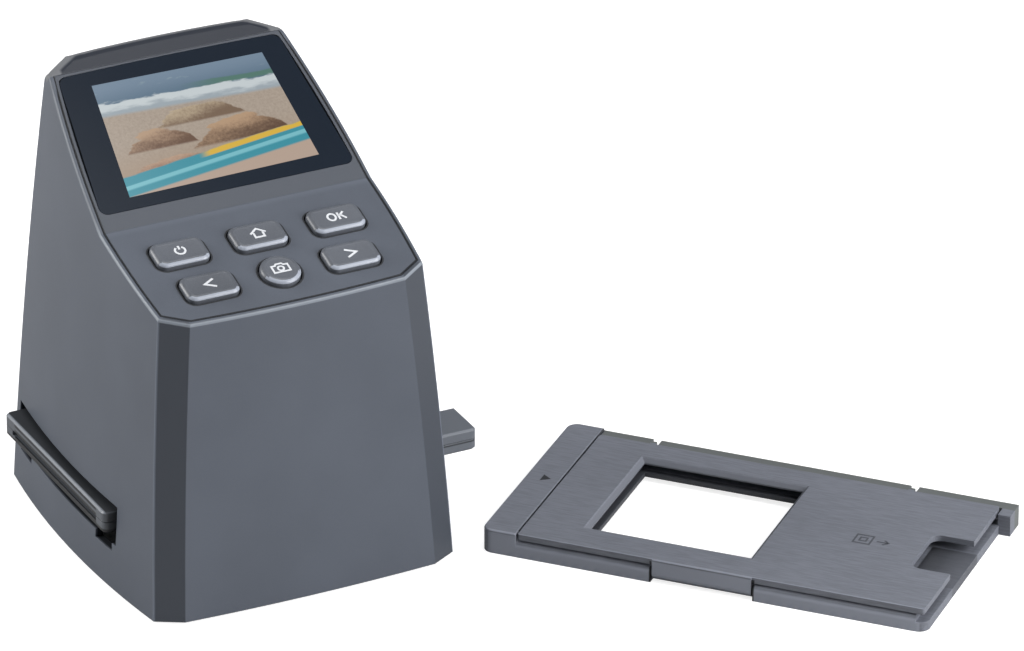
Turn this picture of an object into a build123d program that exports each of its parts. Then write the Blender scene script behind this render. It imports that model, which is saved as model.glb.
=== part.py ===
"""Film negative scanner: a desk-top tower with a sloping screen and six keys, a film tray that
slides through it from side to side, and a loose slide holder with a hinged cover.

Millimetres. The origin is on the desk under the middle of the tower, +X to the right as seen
from the front, +Y to the back, +Z up.
"""
from build123d import *
import os
from math import cos, radians, sin

os.makedirs("parts", exist_ok=True)

# ---------------------------------------------------------------- tower, outside
HALF_W = 45.2           # half width at the desk, half way along the side
SIDE_LEAN = 0.053       # how far each side draws in for every mm of height
SIDE_CURL = 0.00028     # and for every square mm of height
SIDE_BOW_R = 305.0      # plan radius of the bowed sides
FRONT_Y = 46.8          # front wall at the desk, beside its cut corners
FRONT_LEAN = 0.0714     # how far the front leans back for every mm of height
BACK_Y = 51.0           # back wall at the desk, beside its cut corners
BACK_LEAN = 0.054       # how far the back leans forward for every mm of height
END_BOW_R = 560.0       # plan radius of the bowed front and back
CORNER_W = 7.0          # width of the cut corners, along X
CORNER_D = 4.0          # depth of the cut corners, along Y
FOOT_GAP = 0.5          # lower edge of the shell above the desk
FRONT_H = 81.2          # height of the front's top edge
KEY_SLOPE = 16.5        # slope of the key field, degrees
KEY_RUN = 37.75         # length of the key field up its slope
SCREEN_SLOPE = 31.2     # slope of the screen, degrees
BROW_D = 7.64           # from the upper end of the panel to the back wall
BROW_R = 3.2            # rounding of the brow behind the screen

# ---------------------------------------------------------------- tower, shell and panel
WALL = 2.2              # shell wall
RIM = 1.1               # wall left standing round the control panel
RIM_R = 0.7             # softened outer edge of that rim
LEDGE_W = 1.3           # width of the ledge that the panel rests on
LEDGE_T = 1.5           # thickness of that ledge
PANEL_T = 2.4           # control panel
FIT = 0.12              # clearance round a piece that drops into a pocket
SEAT = 0.04             # clearance between faces that are drawn together by screws
BASE_T = 2.0            # base plate
BOSS_R = 3.2            # screw bosses in the shell
BOSS_H = 8.0            # their height above the base plate
BOSS_SIDE = 9.5         # from the tower's sides at the desk to the middle of a boss
BOSS_FRONT = 10.3       # and from its front wall
BOSS_BACK = 12.0        # and from its back wall
SCREW_R = 1.3           # screw shank
SCREW_HEAD_R = 2.4
SCREW_HEAD_T = 1.2
SCREW_SINK = 0.72       # height of the heads that are sunk into the base
THREAD_GAP = 0.05       # clearance round a shank
PAD_R = 5.0             # rubber pads under the base
PAD_SINK = 0.8          # depth of the pads' seats
PAD_SIDE = 12.0         # from the tower's sides to the middle of a pad
PAD_FRONT = 22.8        # and from its front wall
PAD_BACK = 23.5         # and from its back wall

# ---------------------------------------------------------------- screen
GLASS_T = 1.2
GLASS_LOW_EDGE = 5.4    # from the crease to the lower edge of the glass
GLASS_HIGH_EDGE = 1.1   # from its upper corners to the end of the panel
GLASS_BOW = 0.4         # rise of its upper edge between those corners
GLASS_SIDE = 2.3        # from its sides to the tower's sides
GLASS_R = 2.2
VIEW_SIDE = 5.2         # from the glass's upper corners to the window in front of the picture
VIEW_EDGE = 3.85        # and from its lower and upper edges
LCD_SIDE = 1.9          # rim of the display round that window, at its sides
LCD_EDGE = 2.8          # and at its lower and upper edges
LCD_T = 2.6
FRAME_T = 1.2           # frame that clamps the display
FRAME_LIP = 6.0         # its reach over the display
FRAME_SCREW_R = 0.6
FRAME_SCREW_L = 3.4
FRAME_POST_R = 1.3
FRAME_POST_IN = 3.5     # from its lower and upper edges to the posts
FRAME_HIGH_EDGE = 6.3   # from its upper edge to the end of the panel

# ---------------------------------------------------------------- keys
KEY_W = 14.4
KEY_D = 9.0
KEY_R = 2.4
ROUND_KEY_R = 5.3       # the round key in the middle
KEY_PROUD = 1.7         # height of the caps above the panel
KEY_GAP = 0.45          # gap between a cap and its hole
KEY_CROWN = 0.7         # softened top edge of the caps
KEY_FLANGE = 0.8        # width of the flange that holds a cap in
KEY_FLANGE_T = 0.8
KEY_TRAVEL = 0.8
KEY_SIDE = 16.2         # from the tower's sides at the crease to the upper row's outer keys
KEY_LOW_SIDE = 18.3     # and to the lower row's
KEY_ROW_HIGH = 24.8     # rows, up the slope from the front edge
KEY_ROW_LOW = 11.0
KEY_BOARD_DEPTH = 9.0   # face of the key board below the panel's face
KEY_BOARD_SIDE = 5.1    # from its sides to the tower's sides at the crease
KEY_BOARD_LOW = 3.0     # its lower edge, up the slope from the front edge
KEY_BOARD_HIGH = 36.4
KEY_POST_SIDE = 2.0     # lower posts: from the board's sides
KEY_POST_LOW = 13.5     # and up the slope from the front edge
KEY_POST_MID = 12.0     # upper posts: from the middle
KEY_POST_END = 2.2      # and from the board's upper edge
KEY_POST_R = 1.8
PANEL_SCREW_R = 0.8     # screws behind the panel
PANEL_SCREW_L = 5.0
PANEL_SCREW_HEAD_R = 1.5
PANEL_SCREW_HEAD_T = 0.8
BOARD_T = 1.6
SWITCH_W = 6.0
SWITCH_T = 3.4
PLUNGER_R = 1.6
PLUNGER_H = 0.6
PRESS_GAP = 0.1         # left between stem and plunger when a key is fully down

# ---------------------------------------------------------------- film tray
TRAY_Y = 9.8            # centre line of the tray and of the camera
TRAY_W = 62.7
TRAY_LEFT = 46.1        # reach of the tray to the left of the camera
TRAY_RIGHT = 59.6       # and to the right
TRAY_FLOOR = 16.3       # underside of the tray above the desk
TRAY_T = 6.0
TRAY_BASE_T = 3.0
TRAY_SEAM = 0.2         # gap between the tray's base and its lid
TRAY_R = 1.6
TRAY_CHAMFER = 0.5
RUNNER_W = 2.4          # runners under the tray
RUNNER_H = 1.2
RUNNER_INSET = 5.0      # from the tray's edge to the middle of a runner
SLIDE_GAP = 0.35        # clearance of the tray in its channel
FRAME_WINDOW = 40.0     # window of the tray
FILM_T = 1.0            # depth of the film bed
FILM_W = 50.4
NOTCH_W = 36.0          # thumb notch in the tray's right end
NOTCH_D = 11.0
NOTCH_R = 2.5
GRIP_D = 2.0            # groove in the tray's left end
GRIP_H = 1.3
GRIP_END = 5.0          # from its ends to the tray's edges

# ---------------------------------------------------------------- slots and channel
SLOT_LOW = 13.0
SLOT_HIGH = 24.0
SLOT_MARGIN = 1.5       # opening in the shell beyond the tray's edges
SLOT_NOTCH_W = 9.0      # notches below the slot where the runners pass
SLOT_NOTCH_H = 2.2
CHANNEL_SIDE = 0.8      # from the channel's ends to the tower's inner walls
CHANNEL_WALL = 2.0
CHANNEL_FLOOR_T = 2.9
LID_PLATE_T = 1.6
CAMERA_W = 45.0         # window of the channel
POST_R = 2.6            # posts on the base plate that carry the channel
POST_END = 0.9          # from those posts to the channel's ends
POST_DY = 20.0
SPRING_W = 5.0          # leaf springs that steady the tray
SPRING_L = 26.0
SPRING_T = 0.3
SPRING_INSET = 3.35     # from the tray's edges to the middle of a spring
SPRING_REST_GAP = 0.08

# ---------------------------------------------------------------- light and camera
BOX_GAP = 1.4           # from the light box to those posts
BOX_D = 50.0
BOX_WALL = 1.6
DIFFUSER_T = 1.4
LED_BOARD_T = 1.2
LED_SIZE = 3.0
LED_T = 1.0
LED_GAP = 8.0           # between the light sources
HOOD_TOP = 51.0         # height of the camera hood's top
HOOD_LOW = 48.0         # side of the hood at the film
HOOD_HIGH = 20.0        # side of the hood at the lens
HOOD_T = 1.5
FLANGE_W = 4.0
BARREL_R = 8.0
BARREL_H = 11.0
BARREL_BORE = 6.4
LENS_GAP = 0.04         # clearance round a lens
LENS_BEVEL = 0.8        # sloping rim of a lens
LENS_T = 2.4
FRONT_LENS_RISE = 2.0   # lenses above the barrel's foot
REAR_LENS_RISE = 6.4
SENSOR_W = 40.0
SENSOR_D = 34.0
CHIP_W = 9.0
CHIP_T = 1.1
SENSOR_POST_X = 16.0
SENSOR_POST_DY = 13.0
SENSOR_POST_R = 2.0

# ---------------------------------------------------------------- main board and sockets
MAIN_SIDE = 2.0         # from the main board to the tower's inner walls
MAIN_LOW = 29.0
MAIN_HIGH = 71.0
MAIN_DEPTH = 9.1        # its front face ahead of the back wall, at its upper edge
MAIN_POST_SIDE = 4.0    # from its sides to the posts
MAIN_POST_INSET = 4.0
MAIN_POST_R = 2.5
BOARD_SCREW_L = 3.8
USB_W = 9.0
USB_H = 3.2
USB_X = -16.0
USB_Z = 36.0
CARD_W = 25.0
CARD_L = 28.0
CARD_T = 2.8
CARD_Z = 50.0
SOCKET_GAP = 0.4
PROCESSOR_X = -8.0
PROCESSOR_Z = 48.0
CHIP_SIDE = 14.0
USB_WALL = 0.4
CARD_WALL = 0.3
FLEX_T = 0.3            # flat cables
FLEX_BEND_R = 4.0
FLEX_SOCKET_H = 4.0
FLEX_SOCKET_T = 1.4
LCD_FLEX_W = 18.0
LCD_FLEX_X = 8.0
LCD_FLEX_Z = 66.0
LCD_FLEX_EDGE = 1.3     # where it leaves the display, below the upper edge
KEY_FLEX_W = 10.0
KEY_FLEX_X = -16.0
KEY_FLEX_Z = 64.0
KEY_FLEX_RISE = 2.0     # its rise from the key board to its first bend
KEY_FLEX_REACH = 0.4    # share of the way back at which that bend lies
KEY_FLEX_DROP = 0.6     # share of the way down at which it meets the main board

# ---------------------------------------------------------------- loose slide holder
HOLDER_X = 49.16        # its near left corner on the desk
HOLDER_Y = -44.79
HOLDER_TURN = -47.9     # direction of its long side, degrees
HOLDER_L = 124.1
HOLDER_END = 121.0      # right end of the holder's floor
HOLDER_W = 64.0
HOLDER_FLOOR = 2.6
HOLDER_T = 6.5
UNDER_H = 1.4           # the underside is this much hollow
UNDER_RIM = 6.0         # inside a rim of this width
HOLDER_R = 3.0
EDGE_R = 0.5            # softened top edges
BAR_L = 9.5             # raised bar at the left end
COVER_T = 1.6
COVER_GAP = 0.35        # gap between the bar and the cover
COVER_END = 120.2       # right end of the cover
COVER_NEAR = 0.5        # near edge of the cover
COVER_FAR = 60.1        # far edge of the cover
PIN_R = 0.7             # hinge pin
PIN_GAP = 0.06          # running clearance round it
PIN_GRIP = 4.0          # length of the pin held at each end
PIN_V = 2.2             # its place behind the near edge
BEAD_R = 2.2            # rounded bead along the near edge, round the pin's line
HINGE_START = 46.5      # the cover's knuckle along the near edge
HINGE_END = 74.2
HINGE_GAP = 0.35
RAIL_W = 3.2            # rail along the far edge
RAIL_TOP = 5.8
RAIL_NOTCHES = (24.5, 95.9)
RAIL_NOTCH_W = 2.2
SNAP_W = 1.6            # tongues of the cover that snap into those notches
SNAP_L = 1.4
EAR_L = 3.4             # block at the far right corner
EAR_W = 7.0
WINDOW_START = 24.3     # window of the cover, at its top
WINDOW_END = 70.6
WINDOW_NEAR = 10.2
WINDOW_FAR = 52.7
WINDOW_BEVEL = 1.2
WINDOW_STEP = 0.3       # the holder's own window is this much smaller all round
SLIDE_POCKET = 50.9     # pocket for a mounted slide
POCKET_RIB = 1.2
POCKET_RIB_H = 1.6
POCKET_RIB_L = 12.0
THUMB_START = 109.1     # thumb notch of the cover
THUMB_NEAR = 20.6
THUMB_FAR = 39.6
THUMB_R = 3.0
STIFF_RIB_H = 1.2       # ribs on the holder's floor, under the cover
STIFF_RIB_W = 1.2

SPAN = 2 * HALF_W       # a reach past anything in the tower
FORM_HEIGHTS = (-10.0, 60.0, 130.0)


# ---------------------------------------------------------------- helpers
def slope_frame(angle):
    """Directions along and out of a slope that rises towards the back, as (y, z) pairs."""
    return (cos(radians(angle)), sin(radians(angle))), (-sin(radians(angle)), cos(radians(angle)))


KEY_UP, KEY_OUT = slope_frame(KEY_SLOPE)
SCREEN_UP, SCREEN_OUT = slope_frame(SCREEN_SLOPE)
FRONT_EDGE = (-(FRONT_Y - FRONT_LEAN * FRONT_H), FRONT_H)
CREASE = (FRONT_EDGE[0] + KEY_RUN * KEY_UP[0], FRONT_EDGE[1] + KEY_RUN * KEY_UP[1])
SCREEN_RUN = ((BACK_Y - BACK_LEAN * CREASE[1] - CREASE[0] - BROW_D)
              / (SCREEN_UP[0] + BACK_LEAN * SCREEN_UP[1]))
KEY_PLANE = Plane(origin=(0, *FRONT_EDGE), x_dir=(1, 0, 0), z_dir=(0, *KEY_OUT))
SCREEN_PLANE = Plane(origin=(0, *CREASE), x_dir=(1, 0, 0), z_dir=(0, *SCREEN_OUT))


def half_width(z):
    """Half width of the tower at height z, half way along its side."""
    return HALF_W - SIDE_LEAN * z - SIDE_CURL * z * z


def side_at(z, y):
    """Half width of the tower at height z and depth y."""
    return half_width(z) - y ** 2 / (2 * SIDE_BOW_R)


def side_up(run):
    """Half width of the tower at the roof, run mm up the screen's slope from the crease."""
    return side_at(CREASE[1] + run * SCREEN_UP[1], CREASE[0] + run * SCREEN_UP[0])


def front_wall(z):
    return FRONT_Y - FRONT_LEAN * z


def back_wall(z):
    return BACK_Y - BACK_LEAN * z


def cut_corner(z, wall_y, inset):
    """The two ends of a cut corner in plan, on the side and on the end wall, drawn in by inset."""
    side_y = wall_y - CORNER_D
    side_x = half_width(z) - side_y ** 2 / (2 * SIDE_BOW_R)
    length = (CORNER_W ** 2 + CORNER_D ** 2) ** 0.5
    out = (CORNER_D / length, CORNER_W / length)
    on_side = (side_x - inset, side_y - inset * out[1] / (1 + out[0]))
    on_end = (side_x - CORNER_W - inset * out[0] / (1 + out[1]), wall_y - inset)
    return on_side, on_end


def plan_outline(z, inset):
    """The tower's outline at height z: bowed walls and cut corners."""
    (fsx, fsy), (fex, fey) = cut_corner(z, front_wall(z), inset)
    (bsx, bsy), (bex, bey) = cut_corner(z, back_wall(z), inset)
    side = half_width(z) - inset
    front_bow = fex ** 2 / (2 * END_BOW_R)
    back_bow = bex ** 2 / (2 * END_BOW_R)
    ThreePointArc((-fex, -fey), (0, -fey - front_bow), (fex, -fey))
    Line((fex, -fey), (fsx, -fsy))
    ThreePointArc((fsx, -fsy), (side, 0), (bsx, bsy))
    Line((bsx, bsy), (bex, bey))
    ThreePointArc((bex, bey), (0, bey + back_bow), (-bex, bey))
    Line((-bex, bey), (-bsx, bsy))
    ThreePointArc((-bsx, bsy), (-side, 0), (-fsx, -fsy))
    Line((-fsx, -fsy), (-fex, -fey))


def roof_point(depth, run=None):
    """A point of the roof line lowered by depth: the crease, or run mm up (or down) from it."""
    share = 1 + KEY_OUT[0] * SCREEN_OUT[0] + KEY_OUT[1] * SCREEN_OUT[1]
    y = CREASE[0] - depth * (KEY_OUT[0] + SCREEN_OUT[0]) / share
    z = CREASE[1] - depth * (KEY_OUT[1] + SCREEN_OUT[1]) / share
    if run is None:
        return y, z
    up = SCREEN_UP if run > 0 else KEY_UP
    return y + run * up[0], z + run * up[1]


def under_roof(depth, floor):
    """Side profile below the roof line lowered by depth, down to a floor height."""
    front, back = roof_point(depth, -SPAN), roof_point(depth, SPAN)
    return front, roof_point(depth), back, (back[0], floor), (front[0], floor)


def roof_layer(top, bottom, run):
    """Side profile of a layer that follows the roof line, ended run mm up the screen's slope."""
    ends = []
    for depth in (top, bottom):
        ends.append((CREASE[0] + run * SCREEN_UP[0] - depth * SCREEN_OUT[0],
                     CREASE[1] + run * SCREEN_UP[1] - depth * SCREEN_OUT[1]))
    return (roof_point(top, -SPAN), roof_point(top), ends[0],
            ends[1], roof_point(bottom), roof_point(bottom, -SPAN))


def tower_form(inset, profile):
    """The tower's form drawn in by inset, kept where it lies inside a side profile."""
    with BuildPart() as form:
        for z in FORM_HEIGHTS:
            with BuildSketch(Plane.XY.offset(z)):
                with BuildLine():
                    plan_outline(z, inset)
                make_face()
        loft()
        with BuildSketch(Plane.YZ):
            with BuildLine():
                Polyline(*profile, close=True)
            make_face()
        extrude(amount=SPAN, both=True, mode=Mode.INTERSECT)
    return form.part


def glass_outline(margin):
    """The screen glass seen square on, let out by a margin, with bowed sides and top."""
    low, high = GLASS_LOW_EDGE - margin, SCREEN_RUN - GLASS_HIGH_EDGE + margin
    middle = (low + high) / 2
    half_low, half_mid, half_high = (side_up(run) - GLASS_SIDE + margin for run in (low, middle, high))
    ThreePointArc((-half_high, high), (0, high + GLASS_BOW), (half_high, high))
    ThreePointArc((half_high, high), (half_mid, middle), (half_low, low))
    Line((half_low, low), (-half_low, low))
    ThreePointArc((-half_low, low), (-half_mid, middle), (-half_high, high))


def key_outline(is_round, margin):
    """A key's outline seen square on, let out by a margin."""
    if is_round:
        Circle(ROUND_KEY_R + margin)
    else:
        RectangleRounded(KEY_W + 2 * margin, KEY_D + 2 * margin, KEY_R + margin)


def run_of(shape):
    """How far up the screen's slope the middle of a shape lies, from the crease."""
    return SCREEN_PLANE.to_local_coords(shape.center()).Y


def on_rim(edge):
    """Whether an edge of the two slopes lies on their outer rim, not on the crease or the brow."""
    on_crease = abs(edge.position_at(0.5).Z - CREASE[1]) < RIM_R
    return run_of(edge) < SCREEN_RUN and not on_crease


def finish(part, label):
    """Label a finished piece and write it to its own file."""
    part.label = label
    export_step(part, f"parts/{label}.step")
    print(f"{label:18s} solids {len(part.solids())} volume {part.volume:9.1f}")


BOSS_PLACES = [(sx * (HALF_W - BOSS_SIDE), y) for sx in (-1, 1)
               for y in (BOSS_FRONT - FRONT_Y, BACK_Y - BOSS_BACK)]
PAD_PLACES = [(sx * (HALF_W - PAD_SIDE), y) for sx in (-1, 1)
              for y in (PAD_FRONT - FRONT_Y, BACK_Y - PAD_BACK)]
CHANNEL_HALF_X = (side_at(SLOT_HIGH, TRAY_Y + TRAY_W / 2 + CHANNEL_WALL) - WALL - CHANNEL_SIDE)
POST_X = CHANNEL_HALF_X - POST_END - POST_R
BOX_W = 2 * (POST_X - POST_R - BOX_GAP)
POST_PLACES = [(sx * POST_X, TRAY_Y + sy * POST_DY) for sx in (-1, 1) for sy in (-1, 1)]
KEY_X = half_width(CREASE[1]) - KEY_SIDE
KEY_LOW_X = half_width(CREASE[1]) - KEY_LOW_SIDE
KEY_PLACES = {
    "power_key": (-KEY_X, KEY_ROW_HIGH),
    "home_key": (0.0, KEY_ROW_HIGH),
    "ok_key": (KEY_X, KEY_ROW_HIGH),
    "left_key": (-KEY_LOW_X, KEY_ROW_LOW),
    "capture_key": (0.0, KEY_ROW_LOW),
    "right_key": (KEY_LOW_X, KEY_ROW_LOW),
}

BASE_TOP = FOOT_GAP + BASE_T
CHANNEL_TOP = SLOT_HIGH
CHANNEL_FLOOR = TRAY_FLOOR - SLIDE_GAP
CHANNEL_LOW = CHANNEL_FLOOR - CHANNEL_FLOOR_T
LID_TOP = CHANNEL_TOP + SEAT + LID_PLATE_T
TRAY_TOP = TRAY_FLOOR + TRAY_T
MAIN_Y = back_wall(MAIN_HIGH) - MAIN_DEPTH
MAIN_BACK = MAIN_Y + BOARD_T
MAIN_W = 2 * (side_at(MAIN_HIGH, MAIN_BACK) - WALL - MAIN_SIDE)
BOARD_POST_PLACES = [(sx * (MAIN_W / 2 - MAIN_POST_SIDE), z) for sx in (-1, 1)
                     for z in (MAIN_LOW + MAIN_POST_INSET, MAIN_HIGH - MAIN_POST_INSET)]
KEY_BOARD_W = 2 * (half_width(CREASE[1]) - KEY_BOARD_SIDE)
KEY_POST_PLACES = [(sx * x, run) for sx in (-1, 1) for x, run in
                   ((KEY_BOARD_W / 2 - KEY_POST_SIDE, KEY_POST_LOW),
                    (KEY_POST_MID, KEY_BOARD_HIGH - KEY_POST_END))]
GLASS_HIGH = SCREEN_RUN - GLASS_HIGH_EDGE
VIEW_W = 2 * (side_up(GLASS_HIGH) - GLASS_SIDE - VIEW_SIDE)
VIEW_H = GLASS_HIGH - GLASS_LOW_EDGE - 2 * VIEW_EDGE
VIEW_MID = (GLASS_HIGH + GLASS_LOW_EDGE) / 2
LCD_W = VIEW_W + 2 * LCD_SIDE
LCD_H = VIEW_H + 2 * LCD_EDGE
FRAME_POST_X = LCD_W / 2 + FIT + FRAME_POST_R
FRAME_W = 2 * (FRAME_POST_X + FRAME_POST_R)
FRAME_HIGH = SCREEN_RUN - FRAME_HIGH_EDGE
FRAME_LOW = VIEW_MID - LCD_H / 2 - FRAME_POST_R
FRAME_H = FRAME_HIGH - FRAME_LOW
FRAME_MID = (FRAME_HIGH + FRAME_LOW) / 2
FRAME_POST_PLACES = [(sx * FRAME_POST_X, run) for sx in (-1, 1)
                     for run in (FRAME_LOW + FRAME_POST_IN, FRAME_HIGH - FRAME_POST_IN)]
RUNNER_PLACES = [TRAY_Y + sy * (TRAY_W / 2 - RUNNER_INSET) for sy in (-1, 1)]
LCD_DEPTH = PANEL_T + SEAT
FRAME_DEPTH = LCD_DEPTH + LCD_T + SEAT
KEY_STEM_L = (KEY_BOARD_DEPTH - SWITCH_T - PLUNGER_H - PANEL_T - SEAT - KEY_FLANGE_T
              - KEY_TRAVEL - PRESS_GAP)
BOX_TOP = CHANNEL_LOW - DIFFUSER_T - 2 * SEAT
LED_BOARD_LOW = BASE_TOP + SEAT + BOX_WALL + SEAT
SLOT_MID = (SLOT_LOW + SLOT_HIGH) / 2
CARD_MOUTH = side_at(CARD_Z + CARD_W / 2, MAIN_BACK + CARD_T) - WALL - FIT
USB_MOUTH = back_wall(USB_Z) - FIT

# ================================================================ tower: shell
outer = tower_form(0, under_roof(0, FOOT_GAP))
panel_pocket = tower_form(RIM, roof_layer(-SPAN / 4, PANEL_T, SCREEN_RUN))
ledge_hole = tower_form(RIM + LEDGE_W, roof_layer(0, PANEL_T + 2 * LEDGE_T, SCREEN_RUN - LEDGE_W))
cavity = tower_form(WALL, under_roof(PANEL_T + LEDGE_T, -WALL))
core = tower_form(WALL / 2, under_roof(WALL / 2, FOOT_GAP))

with BuildPart() as bosses:
    with BuildSketch(Plane.XY.offset(BASE_TOP + SEAT)):
        for x, y in BOSS_PLACES:
            with Locations((x, y)):
                Circle(BOSS_R)
            with Locations((x + CORNER_W / 2 * (1 if x > 0 else -1), y)):
                Rectangle(CORNER_W, WALL)
    extrude(amount=BOSS_H)
    with BuildSketch(Plane.XZ.offset(-MAIN_BACK - SEAT)):
        with Locations(*BOARD_POST_PLACES):
            Circle(MAIN_POST_R)
    extrude(amount=-2 * CORNER_W)
    add(core, mode=Mode.INTERSECT)

with BuildPart() as body_shell:
    add(outer)
    screen_face = body_shell.faces().filter_by(GeomType.PLANE).sort_by(Axis.Z)[-1]
    fillet(screen_face.edges().filter_by(lambda e: run_of(e) > SCREEN_RUN), radius=BROW_R)
    slopes = body_shell.faces().filter_by(GeomType.PLANE).sort_by(Axis.Z)[-2:]
    fillet(slopes.edges().filter_by(on_rim), radius=RIM_R)
    add(panel_pocket, mode=Mode.SUBTRACT)
    add(ledge_hole, mode=Mode.SUBTRACT)
    add(cavity, mode=Mode.SUBTRACT)
    add(bosses.part)
    with BuildSketch(Plane.XY.offset(BASE_TOP)):
        with Locations(*BOSS_PLACES):
            Circle(SCREW_R + THREAD_GAP)
    extrude(amount=BOSS_H - WALL, mode=Mode.SUBTRACT)
    with BuildSketch(Plane.XZ.offset(-MAIN_BACK)):
        with Locations(*BOARD_POST_PLACES):
            Circle(SCREW_R + THREAD_GAP)
    extrude(amount=-BOARD_SCREW_L, mode=Mode.SUBTRACT)
    with BuildSketch(Plane.YZ):
        with Locations((TRAY_Y, SLOT_MID)):
            Rectangle(TRAY_W + 2 * SLOT_MARGIN, SLOT_HIGH - SLOT_LOW)
        for y in RUNNER_PLACES:
            with Locations((y, SLOT_LOW)):
                Rectangle(SLOT_NOTCH_W, 2 * SLOT_NOTCH_H)
    extrude(amount=SPAN, both=True, mode=Mode.SUBTRACT)
    with BuildSketch(Plane.XZ.offset(-MAIN_BACK)):
        with Locations((USB_X, USB_Z)):
            SlotOverall(USB_W + 2 * SOCKET_GAP, USB_H + 2 * SOCKET_GAP)
    extrude(amount=-SPAN, mode=Mode.SUBTRACT)
    with BuildSketch(Plane.YZ.offset(CARD_MOUTH - WALL)):
        with Locations((MAIN_BACK + CARD_T / 2, CARD_Z)):
            Rectangle(CARD_T, CARD_W)
    extrude(amount=SPAN, mode=Mode.SUBTRACT)
finish(body_shell.part, "body_shell")

# ================================================================ tower: base
with BuildPart() as base_plate:
    add(tower_form(WALL + FIT, under_roof(PANEL_T, FOOT_GAP)))
    with BuildSketch(Plane.XY.offset(BASE_TOP)):
        Rectangle(2 * SPAN, 2 * SPAN)
    extrude(amount=2 * SPAN, mode=Mode.SUBTRACT)
    with BuildSketch(Plane.XY.offset(BASE_TOP)):
        with Locations(*POST_PLACES):
            Circle(POST_R)
    extrude(amount=CHANNEL_LOW - SEAT - BASE_TOP)
    with BuildSketch(Plane.XY.offset(FOOT_GAP)):
        with Locations(*PAD_PLACES):
            Circle(PAD_R + FIT)
        with Locations(*BOSS_PLACES):
            Circle(SCREW_HEAD_R + FIT)
    extrude(amount=PAD_SINK, mode=Mode.SUBTRACT)
    with BuildSketch(Plane.XY.offset(FOOT_GAP)):
        with Locations(*BOSS_PLACES):
            Circle(SCREW_R + FIT)
    extrude(amount=BASE_T, mode=Mode.SUBTRACT)
finish(base_plate.part, "base_plate")

with BuildPart() as rubber_feet:
    with BuildSketch():
        with Locations(*PAD_PLACES):
            Circle(PAD_R)
    extrude(amount=FOOT_GAP + PAD_SINK)
    chamfer(rubber_feet.edges().group_by(Axis.Z)[0], length=FOOT_GAP * 0.6)
finish(rubber_feet.part, "rubber_feet")

with BuildPart() as base_screws:
    with BuildSketch(Plane.XY.offset(FOOT_GAP + PAD_SINK)):
        with Locations(*BOSS_PLACES):
            Circle(SCREW_R)
    extrude(amount=BASE_T - PAD_SINK + BOSS_H - 2 * WALL)
    with BuildSketch(Plane.XY.offset(FOOT_GAP + PAD_SINK)):
        with Locations(*BOSS_PLACES):
            Circle(SCREW_HEAD_R)
            RegularPolygon(SCREW_R, 6, mode=Mode.SUBTRACT)
            Circle(SCREW_R / 2)
    extrude(amount=-SCREW_SINK)
finish(base_screws.part, "base_screws")

# ================================================================ tower: control panel
with BuildPart() as control_panel:
    add(tower_form(RIM + FIT, roof_layer(0, PANEL_T, SCREEN_RUN - FIT)))
    with BuildSketch(KEY_PLANE.offset(-PANEL_T)):
        with Locations(*KEY_POST_PLACES):
            Circle(KEY_POST_R)
    extrude(amount=PANEL_T - KEY_BOARD_DEPTH + SEAT)
    with BuildSketch(SCREEN_PLANE.offset(-PANEL_T)):
        with Locations(*FRAME_POST_PLACES):
            Circle(FRAME_POST_R)
    extrude(amount=PANEL_T - FRAME_DEPTH + SEAT)
    with BuildSketch(KEY_PLANE):
        for name, place in KEY_PLACES.items():
            with Locations(place):
                key_outline(name == "capture_key", KEY_GAP)
    extrude(amount=-2 * PANEL_T, mode=Mode.SUBTRACT)
    with BuildSketch(SCREEN_PLANE) as glass_seat:
        with BuildLine():
            glass_outline(FIT)
        make_face()
        fillet(glass_seat.vertices(), radius=GLASS_R)
    extrude(amount=-GLASS_T, mode=Mode.SUBTRACT)
    with BuildSketch(SCREEN_PLANE):
        with Locations((0, VIEW_MID)):
            Rectangle(VIEW_W, VIEW_H)
    extrude(amount=-2 * PANEL_T, mode=Mode.SUBTRACT)
    with BuildSketch(KEY_PLANE.offset(SEAT - KEY_BOARD_DEPTH)):
        with Locations(*KEY_POST_PLACES):
            Circle(PANEL_SCREW_R + THREAD_GAP)
    extrude(amount=PANEL_SCREW_L - BOARD_T + SEAT, mode=Mode.SUBTRACT)
    with BuildSketch(SCREEN_PLANE.offset(SEAT - FRAME_DEPTH)):
        with Locations(*FRAME_POST_PLACES):
            Circle(FRAME_SCREW_R + THREAD_GAP)
    extrude(amount=FRAME_SCREW_L - FRAME_T + SEAT, mode=Mode.SUBTRACT)
finish(control_panel.part, "control_panel")

with BuildPart() as screen_glass:
    with BuildSketch(SCREEN_PLANE.offset(SEAT - GLASS_T)) as pane:
        with BuildLine():
            glass_outline(0)
        make_face()
        fillet(pane.vertices(), radius=GLASS_R)
    extrude(amount=GLASS_T - SEAT)
finish(screen_glass.part, "screen_glass")

with BuildPart() as lcd_module:
    with BuildSketch(SCREEN_PLANE.offset(-LCD_DEPTH)):
        with Locations((0, VIEW_MID)):
            RectangleRounded(LCD_W, LCD_H, FRAME_T)
    extrude(amount=-LCD_T)
finish(lcd_module.part, "lcd_module")

with BuildPart() as lcd_frame:
    with BuildSketch(SCREEN_PLANE.offset(-FRAME_DEPTH)):
        with Locations((0, FRAME_MID)):
            RectangleRounded(FRAME_W, FRAME_H, FRAME_T)
            RectangleRounded(LCD_W - 2 * FRAME_LIP, FRAME_H - 2 * FRAME_LIP, FRAME_T,
                             mode=Mode.SUBTRACT)
        with Locations(*FRAME_POST_PLACES):
            Circle(FRAME_SCREW_R + THREAD_GAP, mode=Mode.SUBTRACT)
    extrude(amount=-FRAME_T)
finish(lcd_frame.part, "lcd_frame")

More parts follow.
